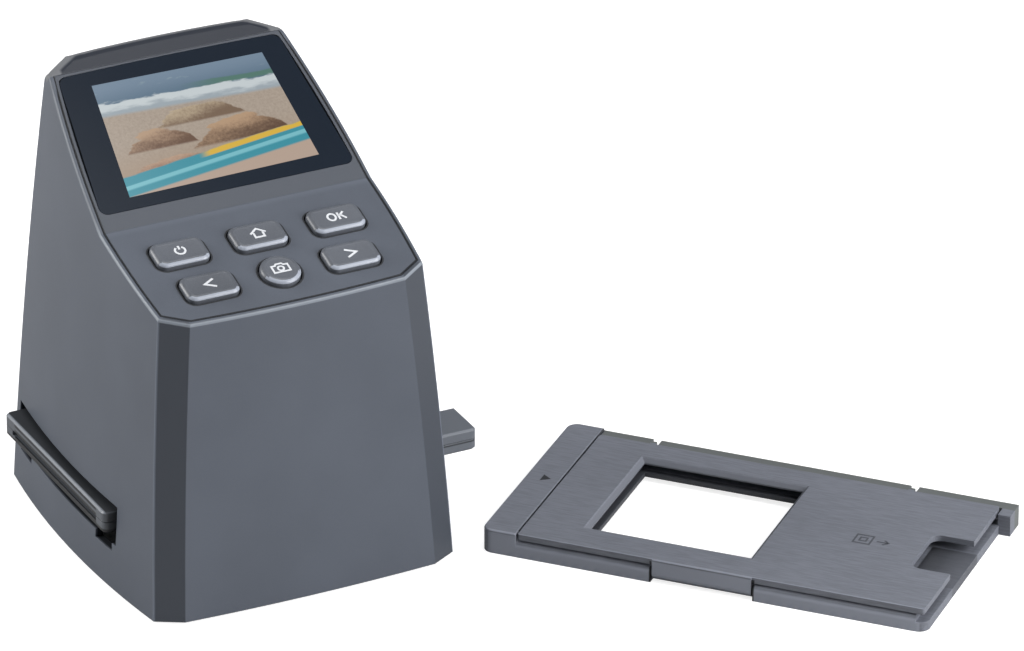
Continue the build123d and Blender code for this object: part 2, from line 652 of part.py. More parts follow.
with BuildPart() as frame_screws:
    for depth, radius, length in ((FRAME_DEPTH + FRAME_T, FRAME_SCREW_R, FRAME_SCREW_L),
                                  (FRAME_DEPTH + FRAME_T, PANEL_SCREW_HEAD_R, -PANEL_SCREW_HEAD_T)):
        with BuildSketch(SCREEN_PLANE.offset(-depth)):
            with Locations(*FRAME_POST_PLACES):
                Circle(radius)
        extrude(amount=length)
finish(frame_screws.part, "frame_screws")

# ================================================================ tower: keys and their board
with BuildPart() as key_board:
    with BuildSketch(KEY_PLANE.offset(-KEY_BOARD_DEPTH)):
        with Locations((0, (KEY_BOARD_LOW + KEY_BOARD_HIGH) / 2)):
            RectangleRounded(KEY_BOARD_W, KEY_BOARD_HIGH - KEY_BOARD_LOW, KEY_POST_R)
        with Locations(*KEY_POST_PLACES):
            Circle(PANEL_SCREW_R + THREAD_GAP, mode=Mode.SUBTRACT)
    extrude(amount=-BOARD_T)
finish(key_board.part, "key_board")

with BuildPart() as key_switches:
    with BuildSketch(KEY_PLANE.offset(-KEY_BOARD_DEPTH)):
        with Locations(*KEY_PLACES.values()):
            Rectangle(SWITCH_W, SWITCH_W)
    extrude(amount=SWITCH_T)
    with BuildSketch(KEY_PLANE.offset(SWITCH_T - KEY_BOARD_DEPTH)):
        with Locations(*KEY_PLACES.values()):
            Circle(PLUNGER_R)
    extrude(amount=PLUNGER_H)
finish(key_switches.part, "key_switches")

with BuildPart() as key_board_screws:
    for radius, length in ((PANEL_SCREW_R, PANEL_SCREW_L), (PANEL_SCREW_HEAD_R, -PANEL_SCREW_HEAD_T)):
        with BuildSketch(KEY_PLANE.offset(-KEY_BOARD_DEPTH - BOARD_T)):
            with Locations(*KEY_POST_PLACES):
                Circle(radius)
        extrude(amount=length)
finish(key_board_screws.part, "key_board_screws")

for name, place in KEY_PLACES.items():
    is_round = name == "capture_key"
    with BuildPart() as key:
        with BuildSketch(KEY_PLANE.offset(-PANEL_T - SEAT)):
            with Locations(place):
                key_outline(is_round, 0)
        extrude(amount=PANEL_T + SEAT + KEY_PROUD)
        top = key.faces().filter_by(KEY_PLANE).sort_by(Axis.Z)[-1]
        fillet(top.edges(), radius=KEY_CROWN)
        with BuildSketch(KEY_PLANE.offset(-PANEL_T - SEAT)):
            with Locations(place):
                key_outline(is_round, KEY_FLANGE + KEY_GAP)
        extrude(amount=-KEY_FLANGE_T)
        with BuildSketch(KEY_PLANE.offset(-PANEL_T - SEAT - KEY_FLANGE_T)):
            with Locations(place):
                Circle(PLUNGER_R)
        extrude(amount=-KEY_STEM_L)
    finish(key.part, name)

# ================================================================ tower: film channel
with BuildPart() as film_channel:
    with BuildSketch(Plane.XY.offset(CHANNEL_LOW)):
        with Locations((0, TRAY_Y)):
            Rectangle(2 * CHANNEL_HALF_X, TRAY_W + 2 * SLIDE_GAP + 2 * CHANNEL_WALL)
    extrude(amount=CHANNEL_TOP - CHANNEL_LOW)
    with BuildSketch(Plane.XY.offset(CHANNEL_FLOOR)):
        with Locations((0, TRAY_Y)):
            Rectangle(2 * SPAN, TRAY_W + 2 * SLIDE_GAP)
    extrude(amount=SPAN, mode=Mode.SUBTRACT)
    with BuildSketch(Plane.XY.offset(CHANNEL_FLOOR)):
        with Locations((0, TRAY_Y)):
            Rectangle(CAMERA_W, CAMERA_W)
    extrude(amount=-SPAN, mode=Mode.SUBTRACT)
    with BuildSketch(Plane.XY.offset(CHANNEL_FLOOR)):
        with Locations(*[(0, y) for y in RUNNER_PLACES]):
            Rectangle(2 * SPAN, RUNNER_W + 2 * SLIDE_GAP)
    extrude(amount=-RUNNER_H, mode=Mode.SUBTRACT)
finish(film_channel.part, "film_channel")

with BuildPart() as channel_lid:
    with BuildSketch(Plane.XY.offset(CHANNEL_TOP + SEAT)):
        with Locations((0, TRAY_Y)):
            Rectangle(2 * CHANNEL_HALF_X, TRAY_W + 2 * SLIDE_GAP + 2 * CHANNEL_WALL)
            Rectangle(CAMERA_W, CAMERA_W, mode=Mode.SUBTRACT)
    extrude(amount=LID_PLATE_T)
finish(channel_lid.part, "channel_lid")

with BuildPart() as tray_springs:
    with BuildSketch(Plane.XZ) as spring_line:
        with BuildLine():
            low = TRAY_TOP + SPRING_REST_GAP + SPRING_T / 2
            high = CHANNEL_TOP - SPRING_T
            ThreePointArc((-SPRING_L / 2, high), (0, low), (SPRING_L / 2, high))
        trace(line_width=SPRING_T)
    for sy in (-1, 1):
        extrude(spring_line.sketch.moved(Location((0, TRAY_Y + sy * (TRAY_W / 2 - SPRING_INSET), 0))),
                amount=SPRING_W / 2, both=True)
finish(tray_springs.part, "tray_springs")

# ================================================================ tower: light and camera
with BuildPart() as light_box:
    with BuildSketch(Plane.XY.offset(BASE_TOP + SEAT)):
        with Locations((0, TRAY_Y)):
            Rectangle(BOX_W, BOX_D)
    extrude(amount=BOX_TOP - BASE_TOP - SEAT)
    rim_face = light_box.faces().sort_by(Axis.Z)[-1]
    offset(amount=-BOX_WALL, openings=rim_face)
finish(light_box.part, "light_box")

with BuildPart() as led_board:
    with BuildSketch(Plane.XY.offset(LED_BOARD_LOW)):
        with Locations((0, TRAY_Y)):
            Rectangle(BOX_W - 2 * BOX_WALL - 2 * FIT, BOX_D - 2 * BOX_WALL - 2 * FIT)
    extrude(amount=LED_BOARD_T)
finish(led_board.part, "led_board")

with BuildPart() as backlight_leds:
    with BuildSketch(Plane.XY.offset(LED_BOARD_LOW + LED_BOARD_T)):
        with Locations((0, TRAY_Y)):
            with GridLocations(LED_SIZE + LED_GAP, LED_SIZE + LED_GAP, 3, 3):
                Rectangle(LED_SIZE, LED_SIZE)
    extrude(amount=LED_T)
finish(backlight_leds.part, "backlight_leds")

with BuildPart() as diffuser:
    with BuildSketch(Plane.XY.offset(BOX_TOP + SEAT)):
        with Locations((0, TRAY_Y)):
            RectangleRounded(BOX_W, BOX_D, BOX_WALL)
    extrude(amount=DIFFUSER_T)
finish(diffuser.part, "diffuser")

hood_low = LID_TOP + SEAT
hood_slope = (HOOD_TOP - hood_low) / (HOOD_LOW - HOOD_HIGH) * 2
post_foot = hood_low + (HOOD_LOW / 2 - SENSOR_POST_X) * hood_slope - HOOD_T
SENSOR_PLACES = [(sx * SENSOR_POST_X, TRAY_Y + sy * SENSOR_POST_DY)
                 for sx in (-1, 1) for sy in (-1, 1)]
SENSOR_LOW = HOOD_TOP + BARREL_H + 2 * SEAT

with BuildPart() as camera_hood:
    for z, side in ((hood_low, HOOD_LOW), (HOOD_TOP, HOOD_HIGH)):
        with BuildSketch(Plane.XY.offset(z)):
            with Locations((0, TRAY_Y)):
                Rectangle(side, side)
    loft()
    with BuildSketch(Plane.XY.offset(hood_low)):
        with Locations((0, TRAY_Y)):
            Rectangle(HOOD_LOW + 2 * FLANGE_W, HOOD_LOW + 2 * FLANGE_W)
    extrude(amount=HOOD_T)
    with BuildSketch(Plane.XY.offset(post_foot)):
        with Locations(*SENSOR_PLACES):
            Rectangle(2 * SENSOR_POST_R, 2 * SENSOR_POST_R)
    extrude(amount=SENSOR_LOW - SEAT - post_foot)
    for z, side in ((hood_low, HOOD_LOW - 2 * HOOD_T), (HOOD_TOP - HOOD_T, HOOD_HIGH - 2 * HOOD_T)):
        with BuildSketch(Plane.XY.offset(z)):
            with Locations((0, TRAY_Y)):
                Rectangle(side, side)
    loft(mode=Mode.SUBTRACT)
    with BuildSketch(Plane.XY.offset(HOOD_TOP)):
        with Locations((0, TRAY_Y)):
            Circle(BARREL_BORE)
    extrude(amount=-2 * HOOD_T, mode=Mode.SUBTRACT)
    with BuildSketch(Plane.XY.offset(SENSOR_LOW)):
        with Locations(*SENSOR_PLACES):
            Circle(PANEL_SCREW_R + THREAD_GAP)
    extrude(amount=-PANEL_SCREW_L, mode=Mode.SUBTRACT)
finish(camera_hood.part, "camera_hood")

with BuildPart() as lens_barrel:
    with BuildSketch(Plane.XY.offset(HOOD_TOP + SEAT)):
        with Locations((0, TRAY_Y)):
            Circle(BARREL_R)
            Circle(BARREL_BORE, mode=Mode.SUBTRACT)
    extrude(amount=BARREL_H)
finish(lens_barrel.part, "lens_barrel")

for name, height in (("front_lens", FRONT_LENS_RISE), ("rear_lens", REAR_LENS_RISE)):
    with BuildPart() as lens:
        with BuildSketch(Plane.XY.offset(HOOD_TOP + SEAT + height)):
            with Locations((0, TRAY_Y)):
                Circle(BARREL_BORE - LENS_GAP)
        extrude(amount=LENS_T)
        chamfer(lens.edges(), length=LENS_BEVEL)
    finish(lens.part, name)

with BuildPart() as sensor_board:
    with BuildSketch(Plane.XY.offset(SENSOR_LOW)):
        with Locations((0, TRAY_Y)):
            RectangleRounded(SENSOR_W, SENSOR_D, SENSOR_POST_R)
        with Locations(*SENSOR_PLACES):
            Circle(PANEL_SCREW_R + THREAD_GAP, mode=Mode.SUBTRACT)
    extrude(amount=BOARD_T)
finish(sensor_board.part, "sensor_board")

with BuildPart() as image_sensor:
    with BuildSketch(Plane.XY.offset(SENSOR_LOW)):
        with Locations((0, TRAY_Y)):
            Rectangle(CHIP_W, CHIP_W)
    extrude(amount=-CHIP_T)
finish(image_sensor.part, "image_sensor")

with BuildPart() as sensor_screws:
    for radius, length in ((PANEL_SCREW_R, -PANEL_SCREW_L), (PANEL_SCREW_HEAD_R, PANEL_SCREW_HEAD_T)):
        with BuildSketch(Plane.XY.offset(SENSOR_LOW + BOARD_T)):
            with Locations(*SENSOR_PLACES):
                Circle(radius)
        extrude(amount=length)
finish(sensor_screws.part, "sensor_screws")

# ================================================================ tower: main board
with BuildPart() as main_board:
    with BuildSketch(Plane.XZ.offset(-MAIN_Y)):
        with Locations((0, (MAIN_LOW + MAIN_HIGH) / 2)):
            Rectangle(MAIN_W, MAIN_HIGH - MAIN_LOW)
        with Locations(*BOARD_POST_PLACES):
            Circle(SCREW_R + THREAD_GAP, mode=Mode.SUBTRACT)
    extrude(amount=-BOARD_T)
finish(main_board.part, "main_board")

with BuildPart() as processor:
    with BuildSketch(Plane.XZ.offset(-MAIN_Y)):
        with Locations((PROCESSOR_X, PROCESSOR_Z)):
            Rectangle(CHIP_SIDE, CHIP_SIDE)
    extrude(amount=CHIP_T)
finish(processor.part, "processor")

with BuildPart() as main_board_screws:
    for radius, length in ((SCREW_R, -BOARD_T - BOARD_SCREW_L + THREAD_GAP), (SCREW_HEAD_R, SCREW_HEAD_T)):
        with BuildSketch(Plane.XZ.offset(-MAIN_Y)):
            with Locations(*BOARD_POST_PLACES):
                Circle(radius)
        extrude(amount=length)
finish(main_board_screws.part, "main_board_screws")

with BuildPart() as usb_socket:
    with BuildSketch(Plane.XZ.offset(-MAIN_BACK)):
        with Locations((USB_X, USB_Z)):
            SlotOverall(USB_W, USB_H)
    extrude(amount=MAIN_BACK - USB_MOUTH)
    with BuildSketch(Plane.XZ.offset(-USB_MOUTH)):
        with Locations((USB_X, USB_Z)):
            SlotOverall(USB_W - 2 * USB_WALL, USB_H - 2 * USB_WALL)
            Rectangle(USB_W - USB_H, USB_WALL * 2, mode=Mode.SUBTRACT)
    extrude(amount=USB_MOUTH - MAIN_BACK - USB_H, mode=Mode.SUBTRACT)
finish(usb_socket.part, "usb_socket")

with BuildPart() as card_socket:
    with BuildSketch(Plane.YZ.offset(CARD_MOUTH)):
        with Locations((MAIN_BACK + CARD_T / 2, CARD_Z)):
            Rectangle(CARD_T, CARD_W)
    extrude(amount=-CARD_L)
    with BuildSketch(Plane.YZ.offset(CARD_MOUTH)):
        with Locations((MAIN_BACK + CARD_T / 2, CARD_Z)):
            Rectangle(CARD_T - 2 * CARD_WALL, CARD_W - 2 * CARD_WALL)
    extrude(amount=CARD_WALL * 2 - CARD_L, mode=Mode.SUBTRACT)
finish(card_socket.part, "card_socket")

with BuildPart() as flex_sockets:
    with BuildSketch(Plane.XZ.offset(-MAIN_Y)):
        for x, z, width in ((LCD_FLEX_X, LCD_FLEX_Z, LCD_FLEX_W), (KEY_FLEX_X, KEY_FLEX_Z, KEY_FLEX_W)):
            with Locations((x, z)):
                Rectangle(width + 2 * FLEX_SOCKET_T, FLEX_SOCKET_H)
    extrude(amount=FLEX_SOCKET_T)
finish(flex_sockets.part, "flex_sockets")

# The two flat cables, drawn from the side. Each keeps clear of the camera below it.
flex_y = MAIN_Y - FLEX_SOCKET_T / 2
lcd_run, lcd_depth = VIEW_MID + LCD_H / 2 - LCD_FLEX_EDGE, FRAME_DEPTH + FLEX_T / 3
lcd_exit = (CREASE[0] + lcd_run * SCREEN_UP[0] - lcd_depth * SCREEN_OUT[0],
            CREASE[1] + lcd_run * SCREEN_UP[1] - lcd_depth * SCREEN_OUT[1])
key_run, key_depth = KEY_BOARD_HIGH + FLEX_T / 3, KEY_BOARD_DEPTH + BOARD_T / 2
key_exit = (FRONT_EDGE[0] + key_run * KEY_UP[0] - key_depth * KEY_OUT[0],
            FRONT_EDGE[1] + key_run * KEY_UP[1] - key_depth * KEY_OUT[1])
lcd_end = LCD_FLEX_Z + FLEX_SOCKET_H / 2
key_end = KEY_FLEX_Z + FLEX_SOCKET_H / 2
lcd_bend = (lcd_exit[1] - lcd_end) / 3
LCD_ROUTE = (lcd_exit, (lcd_exit[0], lcd_exit[1] - lcd_bend),
             (flex_y, lcd_end + lcd_bend), (flex_y, lcd_end))
KEY_ROUTE = (key_exit,
             (key_exit[0] + (flex_y - key_exit[0]) * KEY_FLEX_REACH, key_exit[1] + KEY_FLEX_RISE),
             (flex_y, key_end + (key_exit[1] - key_end) * KEY_FLEX_DROP), (flex_y, key_end))

for name, route, x, width in (("lcd_flex", LCD_ROUTE, LCD_FLEX_X, LCD_FLEX_W),
                              ("key_flex", KEY_ROUTE, KEY_FLEX_X, KEY_FLEX_W)):
    with BuildPart() as flex:
        with BuildSketch(Plane.YZ.offset(x - width / 2)):
            with BuildLine():
                FilletPolyline(*route, radius=FLEX_BEND_R)
            trace(line_width=FLEX_T)
        extrude(amount=width)
    finish(flex.part, name)

# ================================================================ film tray, in its slot
TRAY_MID = (TRAY_RIGHT - TRAY_LEFT) / 2
TRAY_L = TRAY_LEFT + TRAY_RIGHT


def thumb_notch():
    """Cut the thumb notch out of the right end of the tray sketch in hand."""
    with Locations((TRAY_RIGHT, TRAY_Y)):
        RectangleRounded(2 * NOTCH_D, NOTCH_W, NOTCH_R, mode=Mode.SUBTRACT)


with BuildPart() as tray_base:
    with BuildSketch(Plane.XY.offset(TRAY_FLOOR)):
        with Locations((TRAY_MID, TRAY_Y)):
            RectangleRounded(TRAY_L, TRAY_W, TRAY_R)
        thumb_notch()
        with Locations((0, TRAY_Y)):
            Rectangle(FRAME_WINDOW, FRAME_WINDOW, mode=Mode.SUBTRACT)
    extrude(amount=TRAY_BASE_T)
    chamfer(tray_base.edges().group_by(Axis.Z)[0], length=TRAY_CHAMFER)
    with BuildSketch(Plane.XY.offset(TRAY_FLOOR + TRAY_BASE_T)):
        with Locations((0, TRAY_Y)):
            Rectangle(FILM_W, FILM_W)
    extrude(amount=-FILM_T, mode=Mode.SUBTRACT)
    with BuildSketch(Plane.XY.offset(TRAY_FLOOR + TRAY_BASE_T)):
        with Locations((-TRAY_LEFT, TRAY_Y)):
            Rectangle(2 * GRIP_D, TRAY_W - 2 * GRIP_END)
    extrude(amount=-GRIP_H, mode=Mode.SUBTRACT)
    with BuildSketch(Plane.XY.offset(TRAY_FLOOR)):
        with Locations(*[(TRAY_MID, y) for y in RUNNER_PLACES]):
            SlotOverall(TRAY_L - 2 * NOTCH_D, RUNNER_W)
    extrude(amount=SLIDE_GAP - RUNNER_H)
finish(tray_base.part, "tray_base")

with BuildPart() as tray_lid:
    with BuildSketch(Plane.XY.offset(TRAY_FLOOR + TRAY_BASE_T + TRAY_SEAM)):
        with Locations((TRAY_MID, TRAY_Y)):
            RectangleRounded(TRAY_L, TRAY_W, TRAY_R)
        thumb_notch()
        with Locations((0, TRAY_Y)):
            Rectangle(FRAME_WINDOW, FRAME_WINDOW, mode=Mode.SUBTRACT)
    extrude(amount=TRAY_T - TRAY_BASE_T - TRAY_SEAM)
    chamfer(tray_lid.edges().group_by(Axis.Z)[-1], length=TRAY_CHAMFER)
finish(tray_lid.part, "tray_lid")

# ================================================================ loose slide holder
HOLDER = Plane(origin=(HOLDER_X, HOLDER_Y, 0), z_dir=(0, 0, 1),
               x_dir=(cos(radians(HOLDER_TURN)), sin(radians(HOLDER_TURN)), 0))
COVER_LOW = HOLDER_T - COVER_T
PIN_H = HOLDER_FLOOR                                # height of the hinge's line
WINDOW_MID = ((WINDOW_START + WINDOW_END) / 2, (WINDOW_NEAR + WINDOW_FAR) / 2)
BEAD_BACK = 2 * PIN_V                               # back face of the bead and the knuckle
KNUCKLE_START = HINGE_START + HINGE_GAP
KNUCKLE_END = HINGE_END - HINGE_GAP


def across(run):
    """The holder's cross section plane at a run along its length."""
    return Plane(origin=HOLDER.from_local_coords((run, 0, 0)),
                 x_dir=HOLDER.y_dir, z_dir=HOLDER.x_dir)


def slab(left, right, near, far):
    """A rectangle between two runs along the holder and two across it."""
    with Locations(((left + right) / 2, (near + far) / 2)):
        Rectangle(right - left, far - near)


def local_run(shape):
    """How far along the holder a shape's middle lies."""
    return shape.center().X


with BuildPart() as holder_base:
    with BuildSketch(HOLDER) as floor:
        slab(0, HOLDER_END, 0, HOLDER_W)
        fillet(floor.vertices(), radius=HOLDER_R)
    extrude(amount=HOLDER_FLOOR)
    with BuildSketch(HOLDER) as end_bar:
        slab(0, BAR_L, 0, HOLDER_W)
        left_corners = end_bar.vertices().filter_by(lambda corner: local_run(corner) < BAR_L / 2)
        fillet(left_corners, radius=HOLDER_R)
    extrude(amount=HOLDER_T)
    fillet(holder_base.faces().sort_by(Axis.Z)[-1].edges(), radius=EDGE_R)
    with BuildSketch(across(BAR_L)):
        slab(0, BEAD_BACK, 0, PIN_H)
        slab(PIN_V, BEAD_BACK, PIN_H, PIN_H + BEAD_R)
        with Locations((PIN_V, PIN_H)):
            Circle(BEAD_R)
    extrude(amount=HOLDER_END - HOLDER_R - BAR_L)
    with BuildSketch(HOLDER):
        slab(BAR_L / 2, HOLDER_L, HOLDER_W - RAIL_W, HOLDER_W)
        slab(HOLDER_L - EAR_L, HOLDER_L, HOLDER_W - EAR_W, HOLDER_W)
    extrude(amount=RAIL_TOP)
    with BuildSketch(HOLDER.offset(HOLDER_FLOOR)):
        for run in RAIL_NOTCHES:
            slab(run - RAIL_NOTCH_W / 2, run + RAIL_NOTCH_W / 2, COVER_FAR, HOLDER_W)
    extrude(amount=HOLDER_T, mode=Mode.SUBTRACT)
    with BuildSketch(HOLDER):
        lower_step = WINDOW_BEVEL + WINDOW_STEP
        slab(WINDOW_START + lower_step, WINDOW_END - lower_step,
             WINDOW_NEAR + lower_step, WINDOW_FAR - lower_step)
        slab(HINGE_START, HINGE_END, -HOLDER_R, BEAD_BACK + HINGE_GAP)
    extrude(amount=HOLDER_T, mode=Mode.SUBTRACT)
    with BuildSketch(HOLDER):
        slab(UNDER_RIM, HOLDER_END - UNDER_RIM, UNDER_RIM, HOLDER_W - UNDER_RIM)
    extrude(amount=UNDER_H, mode=Mode.SUBTRACT)
    with BuildSketch(HOLDER.offset(HOLDER_FLOOR)):
        with Locations(WINDOW_MID):
            for su in (-1, 1):
                for sv in (-1, 1):
                    corner = SLIDE_POCKET / 2 + POCKET_RIB
                    slab(min(su * corner, su * (corner - POCKET_RIB)),
                         max(su * corner, su * (corner - POCKET_RIB)),
                         min(sv * corner, sv * (corner - POCKET_RIB_L)),
                         max(sv * corner, sv * (corner - POCKET_RIB_L)))
                    slab(min(su * corner, su * (corner - POCKET_RIB_L)),
                         max(su * corner, su * (corner - POCKET_RIB_L)),
                         min(sv * corner, sv * (corner - POCKET_RIB)),
                         max(sv * corner, sv * (corner - POCKET_RIB)))
    extrude(amount=POCKET_RIB_H)
    with BuildSketch(HOLDER.offset(HOLDER_FLOOR)):
        for share in (0.25, 0.75):
            middle = HOLDER_W * share
            slab(WINDOW_END + 2 * POCKET_RIB_L / 3, COVER_END - EAR_L,
                 middle - STIFF_RIB_W / 2, middle + STIFF_RIB_W / 2)
    extrude(amount=STIFF_RIB_H)
    with BuildSketch(across(HINGE_START - PIN_GRIP)):
        with Locations((PIN_V, PIN_H)):
            Circle(PIN_R + THREAD_GAP)
    extrude(amount=HINGE_END - HINGE_START + 2 * PIN_GRIP, mode=Mode.SUBTRACT)
finish(holder_base.part, "holder_base")

with BuildPart() as holder_cover:
    with BuildSketch(HOLDER.offset(COVER_LOW)) as cover_plate:
        slab(BAR_L + COVER_GAP, COVER_END, COVER_NEAR, COVER_FAR)
        fillet(cover_plate.vertices(), radius=COVER_GAP * 2)
        for run in RAIL_NOTCHES:
            slab(run - SNAP_W / 2, run + SNAP_W / 2, COVER_FAR - EDGE_R, COVER_FAR + SNAP_L)
        slab(KNUCKLE_START, KNUCKLE_END, 0, COVER_NEAR + EDGE_R)
    extrude(amount=COVER_T)
    with BuildSketch(HOLDER) as windows:
        slab(WINDOW_START + WINDOW_BEVEL, WINDOW_END - WINDOW_BEVEL,
             WINDOW_NEAR + WINDOW_BEVEL, WINDOW_FAR - WINDOW_BEVEL)
        with Locations((COVER_END, (THUMB_NEAR + THUMB_FAR) / 2)):
            RectangleRounded(2 * (COVER_END - THUMB_START), THUMB_FAR - THUMB_NEAR, THUMB_R)
    extrude(amount=2 * HOLDER_T, mode=Mode.SUBTRACT)
    rim = holder_cover.faces().sort_by(Axis.Z)[-1].inner_wires()[0]
    chamfer(rim.edges(), length=WINDOW_BEVEL)
    with BuildSketch(across(KNUCKLE_START)):
        slab(0, BEAD_BACK, PIN_H, COVER_LOW)
        with Locations((PIN_V, PIN_H)):
            Circle(BEAD_R)
    extrude(amount=KNUCKLE_END - KNUCKLE_START)
    with BuildSketch(across(KNUCKLE_START)):
        with Locations((PIN_V, PIN_H)):
            Circle(PIN_R + PIN_GAP)
    extrude(amount=KNUCKLE_END - KNUCKLE_START, mode=Mode.SUBTRACT)
finish(holder_cover.part, "holder_cover")

with BuildPart() as holder_pin:
    with BuildSketch(across(HINGE_START - PIN_GRIP + THREAD_GAP)):
        with Locations((PIN_V, PIN_H)):
            Circle(PIN_R)
    extrude(amount=HINGE_END - HINGE_START + 2 * (PIN_GRIP - THREAD_GAP))
finish(holder_pin.part, "holder_pin")
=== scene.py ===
"""The film negative scanner and its loose slide holder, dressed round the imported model."""
from math import cos, hypot, pi, radians, sin

import bmesh
import bpy
from mathutils import Matrix, Vector


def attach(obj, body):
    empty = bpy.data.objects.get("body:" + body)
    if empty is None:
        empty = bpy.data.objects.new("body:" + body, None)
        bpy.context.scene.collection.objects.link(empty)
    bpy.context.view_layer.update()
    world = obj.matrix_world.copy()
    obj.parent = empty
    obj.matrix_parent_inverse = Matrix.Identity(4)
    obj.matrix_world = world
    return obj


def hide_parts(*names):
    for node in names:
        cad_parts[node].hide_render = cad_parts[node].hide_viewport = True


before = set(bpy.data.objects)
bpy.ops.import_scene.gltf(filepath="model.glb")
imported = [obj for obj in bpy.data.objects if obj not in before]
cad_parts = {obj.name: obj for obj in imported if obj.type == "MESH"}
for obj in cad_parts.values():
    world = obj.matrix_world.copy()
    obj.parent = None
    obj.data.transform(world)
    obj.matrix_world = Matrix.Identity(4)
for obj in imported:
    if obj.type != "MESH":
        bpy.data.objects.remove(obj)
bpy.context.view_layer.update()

MM = 0.001
SCANNER, HOLDER, COVER = "scanner", "slide_holder", "holder_cover"

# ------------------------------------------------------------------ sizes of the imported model, in mm
# Tower: half width and its loss with height, front and back walls at the desk and their lean.
HALF_W, SIDE_LEAN, SIDE_CURL = 45.2, 0.053, 0.00028
FRONT_Y, FRONT_LEAN = 46.8, 0.0714
BACK_Y, BACK_LEAN = 51.0, 0.054
SIDE_BOW_R, END_BOW_R, END_RISE = 305.0, 560.0, 0.9     # bowed walls, and how far the ends stand out
CORNER_W, CORNER_D = 7.0, 4.0                           # cut corners
KEY_SLOPE, SCREEN_SLOPE = radians(16.5), radians(31.2)
KEY_RUN, SCREEN_RUN = 37.75, 48.91                      # reach of the panel up its two slopes

# Film tray, level and aligned with the tower's axes.
TRAY_LEFT, TRAY_Y, TRAY_W = 46.1, 9.8, 62.7
TRAY_FLOOR, TRAY_TOP = 16.3, 22.3

# Loose slide holder: U along its hinge from the bar's end, V across it, Z up.
TURN = radians(-47.9)
HOLDER_AT = Vector((49.16, -44.79, 0))
HOLDER_T, BAR_L, COVER_FAR = 6.5, 9.5, 60.1
HINGE_START, HINGE_END = 46.5, 74.2
WINDOW_U, WINDOW_V = (24.3, 70.6), (10.2, 52.7)
THUMB_START, THUMB_V = 109.1, (20.6, 39.6)


def slope_axis(slope):
    """The direction that runs up a slope of the tower."""
    return Vector((0, cos(slope), sin(slope)))


def frame_at(origin, x_axis, y_axis):
    """A matrix from a flat drawing in millimetres to the model's frame in metres."""
    z_axis = x_axis.cross(y_axis)
    turn = Matrix((x_axis, y_axis, z_axis)).transposed().to_4x4()
    return Matrix.Scale(MM, 4) @ Matrix.Translation(origin) @ turn


RIGHT = Vector((1, 0, 0))
ALONG = Vector((cos(TURN), sin(TURN), 0))
ACROSS = Vector((-sin(TURN), cos(TURN), 0))
FRONT_EDGE = Vector((0, -41.002, 81.2))
CREASE = FRONT_EDGE + KEY_RUN * slope_axis(KEY_SLOPE)
KEY_FIELD = frame_at(FRONT_EDGE, RIGHT, slope_axis(KEY_SLOPE))
SCREEN_FIELD = frame_at(CREASE, RIGHT, slope_axis(SCREEN_SLOPE))
HOLDER_FIELD = frame_at(HOLDER_AT, ALONG, ACROSS)


def half_width(z):
    """Half width of the tower at a height, as a number or as a shader value."""
    return z * z * -SIDE_CURL + z * -SIDE_LEAN + HALF_W


# ------------------------------------------------------------------ shader nodes


class Value:
    """A socket of a node tree that can be added, multiplied and compared."""

    def __init__(self, tree, socket):
        self.tree, self.socket = tree, socket

    def math(self, operation, *others):
        """The result of a math node with this value as its first input."""
        node = self.tree.nodes.new("ShaderNodeMath")
        node.operation = operation
        for slot, value in zip(node.inputs, (self, *others)):
            if isinstance(value, Value):
                self.tree.links.new(value.socket, slot)
            else:
                slot.default_value = value
        return Value(self.tree, node.outputs[0])

    def __add__(self, other):
        return self.math("ADD", other)

    def __sub__(self, other):
        return self.math("SUBTRACT", other)

    def __mul__(self, other):
        return self.math("MULTIPLY", other)

    def __truediv__(self, other):
        return self.math("DIVIDE", other)

    def size(self):
        """The value without its sign."""
        return self.math("ABSOLUTE")

    def least(self, other):
        """The smaller of two values."""
        return self.math("MINIMUM", other)

    def most(self, other):
        """The larger of two values."""
        return self.math("MAXIMUM", other)

    def step(self, low, high):
        """0 below low and 1 above high, with a smooth change between them."""
        node = self.tree.nodes.new("ShaderNodeMapRange")
        node.interpolation_type = "SMOOTHSTEP"
        self.tree.links.new(self.socket, node.inputs["Value"])
        node.inputs["From Min"].default_value = low
        node.inputs["From Max"].default_value = high
        return Value(self.tree, node.outputs[0])

    def below(self, low, high):
        """1 below low and 0 above high, with a smooth change between them."""
        return (self * -1 + high).step(0, high - low)

    def inside(self, low, high, soft):
        """0 outside two limits and 1 further inside them than soft."""
        return self.step(low, low + soft) * self.below(high - soft, high)

    def near(self, middle, reach, soft):
        """0 further than reach from a value and 1 closer than that by soft."""
        return (self - middle).size().below(reach - soft, reach)


def shader(name):
    """A new material, its tree and its principled shader."""
    material = bpy.data.materials.new(name)
    material.use_nodes = True
    tree = material.node_tree
    return material, tree, tree.nodes["Principled BSDF"]


def place(tree, scale=1.0, stretch=(1, 1, 1), turn=0.0):
    """The object's own coordinates, in millimetres over scale, turned about Z and stretched."""
    coordinates = tree.nodes.new("ShaderNodeTexCoord")
    spin = tree.nodes.new("ShaderNodeMapping")
    spin.inputs["Rotation"].default_value = (0, 0, turn)
    tree.links.new(coordinates.outputs["Object"], spin.inputs["Vector"])
    mapping = tree.nodes.new("ShaderNodeMapping")
    mapping.inputs["Scale"].default_value = [axis / (MM * scale) for axis in stretch]
    tree.links.new(spin.outputs[0], mapping.inputs["Vector"])
    return mapping.outputs[0]


def axes(tree, vector):
    """The three parts of a vector as values."""
    parts = tree.nodes.new("ShaderNodeSeparateXYZ")
    tree.links.new(vector, parts.inputs[0])
    return [Value(tree, output) for output in parts.outputs]


